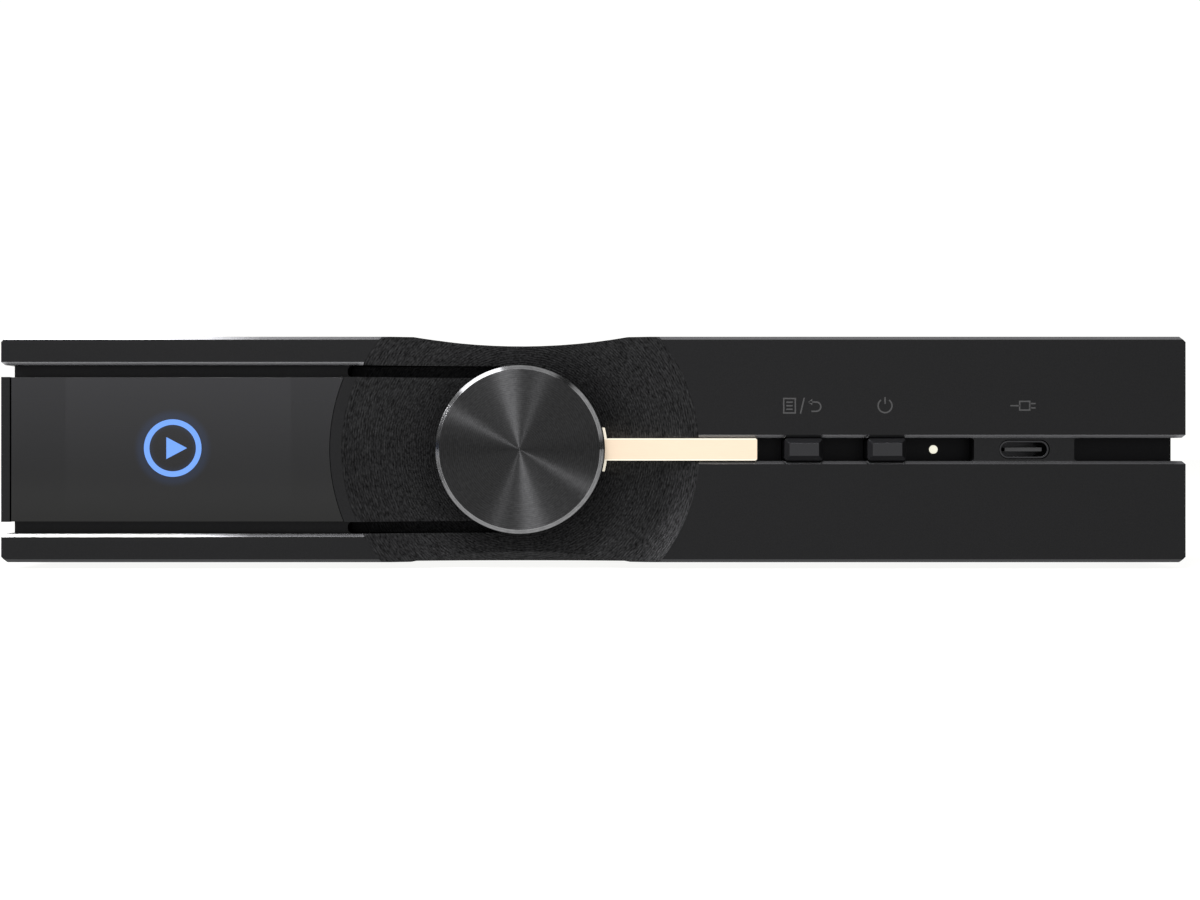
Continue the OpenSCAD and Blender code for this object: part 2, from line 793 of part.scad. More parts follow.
module balanced_socket() {
    x = balanced_x;
    z = low_jack_z;
    color("#1b1b1d") in_case() difference() {
        union() {
            block(x - 6, x + 6, rear_in - 16, rear_in, main_top, z + 5.5);
            rod(4.5, rear_in - eps, rear_face + 2.6, x, z);
        }
        rod(2.25, rear_in - 14, rear_face + 3, x, z);
    }
}

module balanced_nut() {
    color("#c9a24a") in_case() difference() {
        translate([balanced_x, rear_face + 2, low_jack_z]) rotate([90, 0, 0])
            cylinder(r = 6.6, h = 2, $fn = 6);
        rod(4.5 + hair, rear_face - 1, rear_face + 3, balanced_x, low_jack_z);
    }
}

module dc_inlet() {
    x = dc_x;
    z = low_jack_z;
    color("#151517") in_case() difference() {
        union() {
            block(x - 5.4, x + 5.4, rear_in - 13, rear_in, main_top, z + 5.6);
            rod(4.2, rear_in - eps, rear_face + 1.2, x, z);
        }
        rod(3.1, rear_in - 9, rear_face + 2, x, z);
    }
}

module dc_pin() {
    color("#d0d2d4") in_case() {
        rod(1.05, rear_in - 9, rear_face - 0.4, dc_x, low_jack_z);
        translate([dc_x, rear_face - 0.4 - eps, low_jack_z]) rotate([-90, 0, 0])
            cylinder(r1 = 1.05, r2 = 0.6, h = 0.5);
    }
}

module lan_socket() {
    x = lan_x;
    z0 = main_top;
    color("#b6b8ba") in_case() difference() {
        block(x - 8.1, x + 8.1, rear_in - 15, rear_face + 0.6, z0, z0 + 13.6);
        block(x - 5.9, x + 5.9, rear_in - 9, rear_face + 1, z0 + 3.4, z0 + 10.2);
        block(x - 3.1, x + 3.1, rear_in - 9, rear_face + 1, z0 + 1.2, z0 + 4);
    }
}

module lan_contacts() {
    color("#d8b45a") in_case() for (i = [0 : 7]) translate([lan_x + (i - 3.5) * 1.02, 0, 0])
        across(-0.2, 0.2) polygon([
            [rear_in - 8.9, main_top + 10.2], [rear_in - 1.5, main_top + 10.2],
            [rear_in - 1.9, main_top + 9.8], [rear_in - 8.5, main_top + 8.6]
        ]);
}

module usb_host_shells() {
    x = usb_host_x;
    color("#b6b8ba") in_case() for (z = usb_host_z) difference() {
        block(x - 6.6, x + 6.6, rear_in - 13, rear_face + 0.6, z - 2.9, z + 2.9);
        block(x - 6.25, x + 6.25, rear_in - 12.5, rear_face + 1, z - 2.56, z + 2.56);
    }
}

module usb_host_tongues() {
    x = usb_host_x;
    color("#2a5db0") in_case() for (z = usb_host_z) {
        block(x - 5.6, x + 5.6, rear_in - 12.5, rear_face - 0.9, z + 0.4, z + 2.2);
        for (i = [0 : 3]) block(x - 4.1 + i * 2.4, x - 3.1 + i * 2.4, rear_in - 8,
                                rear_face - 1.6, z + 0.25, z + 0.4 + eps);
    }
}

module optical_socket() {
    x = optical_x;
    z0 = main_top;
    color("#141416") in_case() difference() {
        block(x - 4.9, x + 4.9, rear_in - 10, rear_face + 1, z0, z0 + 9.8);
        block(x - 3.1, x + 3.1, rear_in - 7.5, rear_face + 2, z0 + 1.8, z0 + 8.6);
        rod(1.4, rear_in - 9.5, rear_in - 7, x, z0 + 4.8);
        translate([x - 3.9, shutter_y - 0.4, shutter_z]) rotate([0, 90, 0])
            cylinder(r = 0.35 + hair, h = 7.8, $fn = 32);
    }
}

// The spring flap over the optical socket, with its hinge pin along its top edge.
module optical_shutter() {
    x = optical_x;
    color("#1e1e20") in_case() {
        block(x - 2.9, x + 2.9, shutter_y - 0.7, shutter_y - 0.1, shutter_z - 6.1, shutter_z);
        translate([x - 3.8, shutter_y - 0.4, shutter_z]) rotate([0, 90, 0])
            cylinder(r = 0.35, h = 7.6, $fn = 32);
    }
}

// ---- the object ----------------------------------------------------------

front_panel();
top_cover();
bottom_tray();
rear_panel();
display_window();
window_gasket();
display_module();
display_bracket();
display_ribbon();
accent_bar();
knob_cap();
knob_set_screw();
encoder_shaft();
encoder_body();
encoder_nut();
encoder_plunger();
menu_button();
power_button();
menu_switch();
power_switch();
menu_switch_stem();
power_switch_stem();
status_light_pipe();
status_led();
usb_c_shell();
usb_c_tongue();
usb_c_board();
front_board();
front_ribbon();
main_board();
processor_module();
heatsink();
shield_can();
power_capacitors();
inductors();
clock_crystals();
audio_chips();
board_standoffs();
board_screws();
rubber_feet();
cover_screws();
front_panel_screws();
rear_panel_screws();
lan_socket();
lan_contacts();
usb_host_shells();
usb_host_tongues();
optical_socket();
optical_shutter();
rca_housing();
rca_barrels();
line_left_insulator();
line_right_insulator();
coax_insulator();
balanced_socket();
balanced_nut();
dc_inlet();
dc_pin();
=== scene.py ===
"""Finishes and printed details for a desktop digital audio player.

The case, knob, controls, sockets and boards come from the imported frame. This add-on gives each of them
its finish, and adds what is drawn or glows on them: the display's symbol, the marks over the controls,
the marks beside the rear sockets, and the stage. Metres, +Z up, and the front faces -Y.
"""
import json
import math

import bmesh
import bpy
import numpy as np
from bpy.props import FloatProperty, FloatVectorProperty, PointerProperty
from bpy.types import Operator, Panel, PropertyGroup
from mathutils import Matrix, Vector


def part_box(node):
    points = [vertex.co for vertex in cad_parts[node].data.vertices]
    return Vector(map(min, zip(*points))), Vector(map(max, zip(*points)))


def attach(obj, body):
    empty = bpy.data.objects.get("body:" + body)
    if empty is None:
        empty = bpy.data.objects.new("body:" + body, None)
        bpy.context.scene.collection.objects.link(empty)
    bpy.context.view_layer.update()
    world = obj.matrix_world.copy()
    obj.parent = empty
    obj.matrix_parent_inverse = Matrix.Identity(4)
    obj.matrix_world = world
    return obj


bl_info = {
    "name": "Digital audio player",
    "version": (1, 0, 0),
    "blender": (4, 5, 0),
    "location": "View3D > Sidebar > Audio player",
    "description": "Finishes, printed marks and stage for a desktop digital audio player",
    "category": "Object",
}

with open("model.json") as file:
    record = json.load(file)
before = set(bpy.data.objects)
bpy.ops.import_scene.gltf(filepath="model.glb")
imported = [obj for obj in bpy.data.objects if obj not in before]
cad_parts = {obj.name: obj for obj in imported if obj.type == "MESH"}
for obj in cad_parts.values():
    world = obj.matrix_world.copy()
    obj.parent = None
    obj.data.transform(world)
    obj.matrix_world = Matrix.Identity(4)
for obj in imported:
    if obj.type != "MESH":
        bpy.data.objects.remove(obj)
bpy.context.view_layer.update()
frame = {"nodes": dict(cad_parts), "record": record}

# ---- places taken from the frame ------------------------------------------

MM = 0.001
TURN = 2 * math.pi


def ends(node):
    """A CAD node's lowest and highest corners as vectors."""
    low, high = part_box(node)
    return Vector(low), Vector(high)


def middle(node):
    """The middle of a CAD node's box."""
    low, high = ends(node)
    return (low + high) / 2


FRONT_Y = ends("front_panel")[0].y
REAR_Y = ends("rear_panel")[1].y
AXIS_Z = middle("front_panel").z
KNOB_X = middle("knob_cap").x
KNOB_FACE_Y = ends("knob_cap")[0].y
WINDOW_LOW, WINDOW_HIGH = ends("display_window")
DISPLAY_LOW, DISPLAY_HIGH = ends("display_module")
# the rim of the turned dish, about the knob's axis
DISH_R = 32.4 * MM

# how far behind the front face the painted shade of the recesses starts, where it is full, and where the
# slot's floor is reached
SHADE_START, SHADE_END, SLOT_START = 1.2 * MM, 2.6 * MM, 3.2 * MM
# how far behind it the dish's floor ends and the deep slots through it begin
DISH_END, DEEP_START = 6.9 * MM, 7.3 * MM


# ---- small tools -----------------------------------------------------------

def linear(hex_colour):
    """An sRGB hex colour as linear red, green, blue and alpha."""
    srgb = np.array([int(hex_colour[i:i + 2], 16) for i in (0, 2, 4)]) / 255
    rgb = np.where(srgb <= 0.04045, srgb / 12.92, ((srgb + 0.055) / 1.055) ** 2.4)
    return (*rgb.tolist(), 1.0)


def add(tree, kind, inputs=None, out=None, **settings):
    """Adds a node, makes its settings, sets or links its inputs, and returns one of its outputs."""
    made = tree.nodes.new("ShaderNode" + kind)
    for name, value in settings.items():
        setattr(made, name, value)
    for name, value in (inputs or {}).items():
        if isinstance(value, bpy.types.NodeSocket):
            tree.links.new(value, made.inputs[name])
        else:
            made.inputs[name].default_value = value
    if out:
        return made.outputs[out]
    return next((o for o in made.outputs if o.enabled), None)


def new_finish(name):
    """An empty material and its node tree."""
    finish = bpy.data.materials.new(name)
    finish.use_nodes = True
    finish.node_tree.nodes.clear()
    return finish, finish.node_tree


def close_finish(tree, inputs):
    """Ends a material in one principled shader with these inputs."""
    shader = add(tree, "BsdfPrincipled", inputs)
    add(tree, "OutputMaterial", {"Surface": shader})


def wear(finish, *nodes):
    """Gives CAD nodes a finish in every material slot."""
    for node in nodes:
        for mesh_slot in frame["nodes"][node].material_slots:
            mesh_slot.material = finish


def slot_nodes(slot_name):
    """The CAD nodes that the record gives one material slot."""
    return [row["node"] for row in frame["record"]["subparts"] if row["material_slot"] == slot_name]


def wear_plain(make, plan):
    """Gives each material slot in the plan a finish, from its name, its sRGB colour and its roughness."""
    for slot_name, (name, hex_colour, roughness) in plan.items():
        wear(make(name, linear(hex_colour), roughness), *slot_nodes(slot_name))


def settings_of(context):
    """This add-on's settings, by the name of their group."""
    return context.scene.audio_player


# ---- shapes ----------------------------------------------------------------

def make_piece(name, corners, faces, finish):
    """Turns computed corners and faces into a closed piece that rides on the case."""
    mesh = bpy.data.meshes.new(name)
    mesh.from_pydata(corners.tolist(), [], faces)
    shell = bmesh.new()
    shell.from_mesh(mesh)
    bmesh.ops.recalc_face_normals(shell, faces=shell.faces)
    shell.to_mesh(mesh)
    shell.free()
    piece = bpy.data.objects.new(name, mesh)
    bpy.context.scene.collection.objects.link(piece)
    mesh.materials.append(finish)
    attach(piece, "case")


def arc(centre, radius, start, stop, steps):
    """Points on a circle about centre, from one angle to another in degrees, anticlockwise seen flat."""
    angle = np.radians(np.linspace(start, stop, steps))
    return np.stack([centre[0] + radius * np.cos(angle), centre[1] + radius * np.sin(angle)], axis=1)


def ring_path(radius, steps=96):
    """A closed circle of points about the origin, without the repeated last one."""
    return arc((0, 0), radius, 0, 360, steps + 1)[:-1]


def rectangle(centre, half_width, half_height):
    """A rectangle's four corners, anticlockwise seen flat."""
    corners = np.array([(-1, -1), (1, -1), (1, 1), (-1, 1)])
    return corners * (half_width, half_height) + centre


def line_bar(path, width, closed):
    """Cross-section ends of a flat line: half the width either way along each point's mitred normal."""
    ahead = np.roll(path, -1, axis=0) - path
    behind = path - np.roll(path, 1, axis=0)
    if not closed:
        ahead[-1] = behind[-1]
        behind[0] = ahead[0]
    ahead /= np.linalg.norm(ahead, axis=1, keepdims=True)
    behind /= np.linalg.norm(behind, axis=1, keepdims=True)
    along = ahead + behind
    along /= np.linalg.norm(along, axis=1, keepdims=True)
    normal = np.stack([-along[:, 1], along[:, 0]], axis=1)
    mitre = np.clip((along * ahead).sum(axis=1), 0.5, 1)[:, None]
    return path + normal * width / 2 / mitre, path - normal * width / 2 / mitre


def bar_mesh(path, width, closed, surface_y, outward, proud):
    """A line drawn on a wall: four corners at each point of the path, joined ring to ring and capped."""
    left, right = line_bar(path, width, closed)
    count = len(left)
    faces_y = np.array([surface_y, surface_y + outward * proud])
    corners = np.empty((count, 4, 3))
    for corner, (side, y) in enumerate([(left, 0), (right, 0), (right, 1), (left, 1)]):
        corners[:, corner, 0] = side[:, 0]
        corners[:, corner, 1] = faces_y[y]
        corners[:, corner, 2] = side[:, 1]
    here = np.arange(count if closed else count - 1)
    after = (here + 1) % count
    sides = [(corner, (corner + 1) % 4) for corner in range(4)]
    quads = [np.stack([here * 4 + c, here * 4 + d, after * 4 + d, after * 4 + c], axis=1) for c, d in sides]
    faces = np.concatenate(quads).tolist()
    if not closed:
        faces += [[0, 1, 2, 3], [count * 4 - 1, count * 4 - 2, count * 4 - 3, count * 4 - 4]]
    return corners.reshape(-1, 3), faces


def plate_mesh(outline, surface_y, outward, proud):
    """A flat plate on a wall: the outline at both depths, joined by its side walls."""
    count = len(outline)
    corners = np.empty((2, count, 3))
    corners[:, :, 0] = outline[:, 0]
    corners[:, :, 2] = outline[:, 1]
    corners[0, :, 1] = surface_y
    corners[1, :, 1] = surface_y + outward * proud
    here = np.arange(count)
    after = (here + 1) % count
    walls = np.stack([here, after, after + count, here + count], axis=1).tolist()
    return corners.reshape(-1, 3), walls + [here.tolist(), (here[::-1] + count).tolist()]


def join_meshes(parts):
    """Several (corners, faces) as one, each face's numbers moved past the corners before it."""
    corners, faces, start = [], [], 0
    for part_corners, part_faces in parts:
        corners.append(part_corners)
        faces += [[index + start for index in face] for face in part_faces]
        start += len(part_corners)
    return np.concatenate(corners), faces


def draw_marks(name, drawing, centre, size, wall, finish):
    """One printed piece from a drawing of lines, open or closed, and filled plates. A drawing is made about
    the origin at size 1, and each point goes to the centre plus the size times its place there."""
    lines, plates = drawing
    surface_y, outward, width, proud = wall
    parts = [bar_mesh(centre + np.asarray(path) * size, width, closed, surface_y, outward, proud)
             for path, closed in lines]
    parts += [plate_mesh(centre + np.asarray(outline) * size, surface_y, outward, proud)
              for outline in plates]
    corners, faces = join_meshes(parts)
    make_piece(name, corners, faces, finish)


# ---- patterns shared by the finishes ----------------------------------------

def mottle(tree, place, size, detail, low, high):
    """A noise with grains of this size, and its tone: the noise's usual swing, 0.3 to 0.7, as low to high."""
    noise = add(tree, "TexNoise", {"Vector": place, "Scale": 1 / size, "Detail": detail})
    tone = add(tree, "MapRange", {"Value": noise, "From Min": 0.3, "From Max": 0.7, "To Min": low,
                                  "To Max": high})
    return noise, tone


def worn_relief(tree, height, strength, distance, edge_radius):
    """A pattern's bumps over edges that are rounded to this radius."""
    edges = add(tree, "Bevel", {"Radius": edge_radius}, samples=4)
    return add(tree, "Bump", {"Height": height, "Strength": strength, "Distance": distance, "Normal": edges},
               out="Normal")


def knob_radius(tree, place):
    """The flat offset from the knob's axis, and its length: y is dropped, then the vector is measured."""
    offset = add(tree, "VectorMath", {0: place, 1: (KNOB_X, 0, AXIS_Z)}, operation="SUBTRACT")
    flat = add(tree, "VectorMath", {0: offset, 1: (1, 0, 1)}, operation="MULTIPLY")
    radius = add(tree, "VectorMath", {0: flat}, out="Value", operation="LENGTH")
    return flat, radius


def outward_tangent(tree, flat):
    """The direction straight out from the knob's axis, along which turned rings stretch a highlight."""
    return add(tree, "VectorMath", {0: flat}, operation="NORMALIZE")


def lip_mask(tree):
    """One on the machined 45-degree lips, found by how far their normals lean from the front."""
    normal = add(tree, "TexCoord", out="Normal")
    lean = add(tree, "SeparateXYZ", {0: normal}, out="Y")
    amount = add(tree, "Math", {0: lean}, operation="ABSOLUTE")
    return add(tree, "Math", {0: amount, 1: math.sqrt(0.5), 2: 0.04}, operation="COMPARE")


# how bright each cut lip is drawn, by its height in millimetres from the middle of the front: painted
# highlight and shade, standing in for the light each lip reflects
LIP_PAINTED_LIGHT = ((20.2, 0.72), (15.5, 1.4), (2.4, 0.85), (-2.4, 0.58), (-15.5, 0.72), (-20.2, 0.25))
# the lips that brighten toward their left end, a painted highlight of the large light up to the left: height,
# where that starts and stops, and by how much
LIP_END_HIGHLIGHTS = ((-15.5, -62, -76, 4.2), (20.2, -60, -84, 2.0))
LIP_REACH = 1.2 * MM


def at_lip(tree, z, height):
    """One within a lip's reach of this height, in millimetres from the middle of the front."""
    return add(tree, "Math", {0: z, 1: AXIS_Z + height * MM, 2: LIP_REACH}, operation="COMPARE")


def painted_lip_light(tree, place):
    """The painted highlight or shade of the lip at this height, with two of them brighter toward their left
    end.
    """
    x, z = (add(tree, "SeparateXYZ", {0: place}, out=axis) for axis in "XZ")
    shade = 0.0
    for height, painted_level in LIP_PAINTED_LIGHT:
        shade = add(tree, "Math", {0: at_lip(tree, z, height), 1: painted_level, 2: shade}, operation="MULTIPLY_ADD")
    for height, start, stop, extra in LIP_END_HIGHLIGHTS:
        toward_end = add(tree, "MapRange", {"Value": x, "From Min": start * MM, "From Max": stop * MM,
                                            "To Max": extra})
        shade = add(tree, "Math", {0: at_lip(tree, z, height), 1: toward_end, 2: shade},
                    operation="MULTIPLY_ADD")
    return shade


def turned_rings(tree, place, radius, pitch, drift_size, drift_detail, drift_reach):
    """Tool marks of a lathe, from -1 to 1: a sine of the radius, its phase pushed by a noise of drift_size,
    up to drift_reach radians either way."""
    drift = add(tree, "TexNoise", {"Vector": place, "Scale": 1 / drift_size, "Detail": drift_detail})
    wobble = add(tree, "MapRange", {"Value": drift, "To Min": -drift_reach, "To Max": drift_reach})
    phase = add(tree, "Math", {0: radius, 1: TURN / pitch, 2: wobble}, operation="MULTIPLY_ADD")
    return add(tree, "Math", {0: phase}, operation="SINE")


def turned_streaks(tree, flat, radius, width, length, contrast):
    """The tone of short strokes along the lathe rings, 1 plus or minus the contrast: noise in ring
    coordinates, radius across and the unit direction times a typical radius along, so it has no seam."""
    typical_radius = 25 * MM
    along = add(tree, "VectorMath", {0: outward_tangent(tree, flat), "Scale": typical_radius / length},
                operation="SCALE")
    across = add(tree, "Math", {0: radius, 1: 1 / width}, operation="MULTIPLY")
    across = add(tree, "CombineXYZ", {"Y": across})
    place = add(tree, "VectorMath", {0: along, 1: across}, operation="ADD")
    strokes = add(tree, "TexNoise", {"Vector": place, "Scale": 1.0, "Detail": 2.0, "Roughness": 0.6})
    return add(tree, "MapRange", {"Value": strokes, "From Min": 0.25, "From Max": 0.75,
                                  "To Min": 1 - contrast, "To Max": 1 + contrast})


def card_mask(tree, way, angle, half_width, soft):
    """One inside a round card that stands off to the side of the knob's axis, at this angle round it."""
    aim = (math.cos(math.radians(angle)), 0, math.sin(math.radians(angle)))
    facing = add(tree, "VectorMath", {0: way, 1: aim}, out="Value", operation="DOT_PRODUCT")
    return add(tree, "MapRange", {"Value": facing, "From Min": math.cos(math.radians(half_width + soft)),
                                  "From Max": math.cos(math.radians(half_width))})


def darken(tree, level, mask):
    """The studio's level, with nearly none of it left inside a black card's mask."""
    left = add(tree, "MapRange", {"Value": mask, "To Min": 1.0, "To Max": 0.03})
    return add(tree, "Math", {0: level, 1: left}, operation="MULTIPLY")


# ---- finishes ---------------------------------------------------------------

def anodised_aluminium(name, colour, grain_mm=0.22, roughness=0.42):
    """Bead-blasted, black anodised aluminium: an even satin black with a very fine grit."""
    finish, tree = new_finish(name)
    place = add(tree, "TexCoord", out="Object")
    # blasting leaves pits under 0.1 mm, drawn coarser so that they show
    grit, tone = mottle(tree, place, grain_mm * MM, 2.0, 0.88, 1.12)
    _, shade = mottle(tree, place, 28 * MM, 1.0, 0.96, 1.04)
    both = add(tree, "Math", {0: tone, 1: shade}, operation="MULTIPLY")
    tinted = add(tree, "VectorMath", {0: colour[:3], "Scale": both}, operation="SCALE")
    rough = add(tree, "MapRange", {"Value": grit, "To Min": roughness - 0.05, "To Max": roughness + 0.05})
    relief = worn_relief(tree, grit, 0.10, 0.02 * MM, 0.15 * MM)
    close_finish(tree, {"Base Color": tinted, "Metallic": 1.0, "Roughness": rough, "Normal": relief})
    return finish


def dish_mask(tree, radius):
    """One in the dish: inside its rim, where the metal faces forward."""
    in_rim = add(tree, "MapRange", {"Value": radius, "From Min": DISH_R, "From Max": DISH_R - 0.15 * MM})
    facing = add(tree, "SeparateXYZ", {0: add(tree, "TexCoord", out="Normal")}, out="Y")
    forward = add(tree, "Math", {0: facing, 1: -0.5}, operation="LESS_THAN")
    return add(tree, "Math", {0: in_rim, 1: forward}, operation="MULTIPLY")


def recess_painted_shade(tree, case, place, skin, off_dish):
    """The skin's colour with painted shade: darker on the floors of the shallow grooves, and blacker on those
    of the slots, where less light reaches.
    """
    depth = add(tree, "SeparateXYZ", {0: place}, out="Y")
    recess = add(tree, "MapRange", {"Value": depth, "From Min": FRONT_Y + SHADE_START,
                                    "From Max": FRONT_Y + SHADE_END})
    painted_shade = add(tree, "Math", {0: recess, 1: off_dish}, operation="MULTIPLY")
    deep = add(tree, "MapRange", {"Value": depth, "From Min": FRONT_Y + DISH_END,
                                  "From Max": FRONT_Y + DEEP_START})
    shallow = add(tree, "Math", {0: depth, 1: FRONT_Y + SLOT_START}, operation="LESS_THAN")
    floors = add(tree, "Mix", {0: shallow, 6: tuple(case.slot_shade_colour), 7: tuple(case.recess_shade_colour)},
                 data_type="RGBA")
    shaded_skin = add(tree, "Mix", {0: painted_shade, 6: skin, 7: floors}, data_type="RGBA")
    return add(tree, "Mix", {0: deep, 6: shaded_skin, 7: tuple(case.slot_shade_colour)}, data_type="RGBA")


def panel_aluminium(case):
    """The machined front: blasted, anodised black, with cut lips that carry painted highlights and shade,
    painted shade in its recesses, and a lathe-turned dish.
    """
    finish, tree = new_finish("machined_anodised_aluminium")
    place = add(tree, "TexCoord", out="Object")
    flat, radius = knob_radius(tree, place)
    in_dish = dish_mask(tree, radius)
    off_dish = add(tree, "Math", {0: 1.0, 1: in_dish}, operation="SUBTRACT")
    on_lips = add(tree, "Math", {0: lip_mask(tree), 1: off_dish}, operation="MULTIPLY")
    grit, grit_tone = mottle(tree, place, 0.22 * MM, 2.0, 0.9, 1.1)
    # fine turning, drawn coarser so that it shows: its rings drift, and so beat against each other
    rings = turned_rings(tree, place, radius, case.ring_pitch, 1.6 * MM, 3.0, 3.2)
    ring_tone = add(tree, "MapRange", {"Value": rings, "From Min": -1, "From Max": 1, "To Min": 0.80,
                                       "To Max": 1.22})
    streak_tone = turned_streaks(tree, flat, radius, 0.26 * MM, 0.7 * MM, 0.88)
    turned_tone = add(tree, "Math", {0: ring_tone, 1: streak_tone}, operation="MULTIPLY")
    tone = add(tree, "Mix", {0: in_dish, 2: grit_tone, 3: turned_tone})
    skin = add(tree, "Mix", {0: in_dish, 6: tuple(case.face_colour), 7: tuple(case.dish_colour)},
               data_type="RGBA")
    # painted shade on the floors of the grooves and slots
    face = recess_painted_shade(tree, case, place, skin, off_dish)
    # the cut lips' colour times their painted highlight and shade
    lips = add(tree, "VectorMath", {0: tuple(case.lip_colour)[:3], "Scale": painted_lip_light(tree, place)},
               operation="SCALE")
    cut = add(tree, "Mix", {0: on_lips, 6: face, 7: lips}, data_type="RGBA")
    tinted = add(tree, "VectorMath", {0: cut, "Scale": tone}, operation="SCALE")
    rough = add(tree, "Mix", {0: in_dish, 2: 0.42, 3: 0.44})
    rough = add(tree, "Mix", {0: on_lips, 2: rough, 3: 0.26})
    stretch = add(tree, "Math", {0: in_dish, 1: 0.6}, operation="MULTIPLY")
    height = add(tree, "Mix", {0: in_dish, 2: grit, 3: rings})
    strength = add(tree, "Mix", {0: on_lips, 2: 0.22, 3: 0.0})
    relief = add(tree, "Bump", {"Height": height, "Strength": strength, "Distance": 0.03 * MM}, out="Normal")
    close_finish(tree, {"Base Color": tinted, "Metallic": 1.0, "Roughness": rough, "Anisotropic": stretch,
                        "Tangent": outward_tangent(tree, flat), "Normal": relief})
    return finish


def spun_knob(knob):
    """The knob: its face spun to fine rings that fan the light, its chamfer cut bright, its side satin."""
    finish, tree = new_finish("spun_anodised_aluminium")
    place = add(tree, "TexCoord", out="Object")
    flat, radius = knob_radius(tree, place)
    depth = add(tree, "SeparateXYZ", {0: place}, out="Y")
    rim = lip_mask(tree)
    side = add(tree, "Math", {0: depth, 1: KNOB_FACE_Y + 0.8 * MM}, operation="GREATER_THAN")
    # spun rings are a few hundredths of a millimetre apart, drawn coarser so that they show
    rings = turned_rings(tree, flat, radius, knob.ring_pitch, 2.2 * MM, 2.0, 2.0)
    ring_tone = add(tree, "MapRange", {"Value": rings, "From Min": -1, "From Max": 1, "To Min": 0.90,
                                       "To Max": 1.10})
    streak_tone = turned_streaks(tree, flat, radius, 0.30 * MM, 1.6 * MM, 0.22)
    tone = add(tree, "Math", {0: ring_tone, 1: streak_tone}, operation="MULTIPLY")
    face = add(tree, "Mix", {0: side, 6: tuple(knob.face_colour), 7: tuple(knob.side_colour)},
               data_type="RGBA")
    cut = add(tree, "Mix", {0: rim, 6: face, 7: tuple(knob.rim_colour)}, data_type="RGBA")
    tinted = add(tree, "VectorMath", {0: cut, "Scale": tone}, operation="SCALE")
    rough = add(tree, "Mix", {0: rim, 2: 0.44, 3: 0.16})
    stretch = add(tree, "Mix", {0: rim, 2: 1.0, 3: 0.0})
    relief = add(tree, "Bump", {"Height": rings, "Strength": 0.12, "Distance": 0.01 * MM}, out="Normal")
    close_finish(tree, {"Base Color": tinted, "Metallic": 1.0, "Roughness": rough, "Anisotropic": stretch,
                        "Tangent": outward_tangent(tree, flat), "Normal": relief})
    return finish


def tinted_glass(display):
    """Dark tinted float glass: nearly black, glossy, with the lit panel behind it, a painted glow round the
    symbol given off by the glass itself, and a painted reflection toward its top.
    """
    finish, tree = new_finish("tinted_glass")
    place = add(tree, "TexCoord", out="Object")
    symbol_x, symbol_z = symbol_centre()
    # painted glow: a ring of light given off by the glass round the symbol, standing in for the display's
    # light spreading in it
    from_symbol = add(tree, "VectorMath", {0: place, 1: (symbol_x, WINDOW_LOW.y, symbol_z)},
                      out="Value", operation="DISTANCE")
    ring_gap = add(tree, "Math", {0: from_symbol, 1: display.symbol_size / 2}, operation="SUBTRACT")
    spread = add(tree, "Math", {0: ring_gap}, operation="ABSOLUTE")
    halo = add(tree, "MapRange", {"Value": spread, "From Min": 2.2 * MM, "From Max": 0.4 * MM},
               interpolation_type="SMOOTHERSTEP")
    # the lit panel stops short of the module's ends, and the glass is painted lighter toward its top, a
    # painted reflection of the light from above
    border, blur = 2 * MM, 0.3 * MM
    left, right = DISPLAY_LOW.x + border, DISPLAY_HIGH.x - border
    x, z = (add(tree, "SeparateXYZ", {0: place}, out=axis) for axis in "XZ")
    past_left = add(tree, "MapRange", {"Value": x, "From Min": left, "From Max": left + blur})
    before_right = add(tree, "MapRange", {"Value": x, "From Min": right, "From Max": right - blur})
    panel = add(tree, "Math", {0: past_left, 1: before_right}, operation="MULTIPLY")
    # painted reflection: the glass's colour is scaled up toward its top
    height = add(tree, "MapRange", {"Value": z, "From Min": WINDOW_LOW.z, "From Max": WINDOW_HIGH.z,
                                    "To Max": 1.3})
    grey = add(tree, "Mix", {0: panel, 6: tuple(display.border_colour), 7: tuple(display.glass_colour)},
               data_type="RGBA")
    shade = add(tree, "VectorMath", {0: grey, "Scale": height}, operation="SCALE")
    smear = add(tree, "TexNoise", {"Vector": place, "Scale": 1 / (9 * MM), "Detail": 2.0})
    rough = add(tree, "MapRange", {"Value": smear, "To Min": 0.03, "To Max": 0.07})
    glow = add(tree, "Math", {0: halo, 1: display.halo}, operation="MULTIPLY")
    edges = add(tree, "Bevel", {"Radius": 0.04 * MM}, samples=4)
    close_finish(tree, {"Base Color": shade, "Roughness": rough, "IOR": 1.39, "Normal": edges,
                        "Emission Color": tuple(display.symbol_colour), "Emission Strength": glow})
    return finish


def lit_panel(name, colour):
    """A lit emitter, such as a display's segment or a light pipe's end: an even glow from edge to edge."""
    finish, tree = new_finish(name)
    place = add(tree, "TexCoord", out="Object")
    cells = add(tree, "TexNoise", {"Vector": place, "Scale": 1 / (0.25 * MM), "Detail": 0.0})
    glow = add(tree, "MapRange", {"Value": cells, "To Min": 0.94, "To Max": 1.06})
    close_finish(tree, {"Base Color": (0.02, 0.02, 0.02, 1), "Roughness": 0.3, "Emission Color": colour,
                        "Emission Strength": glow})
    return finish


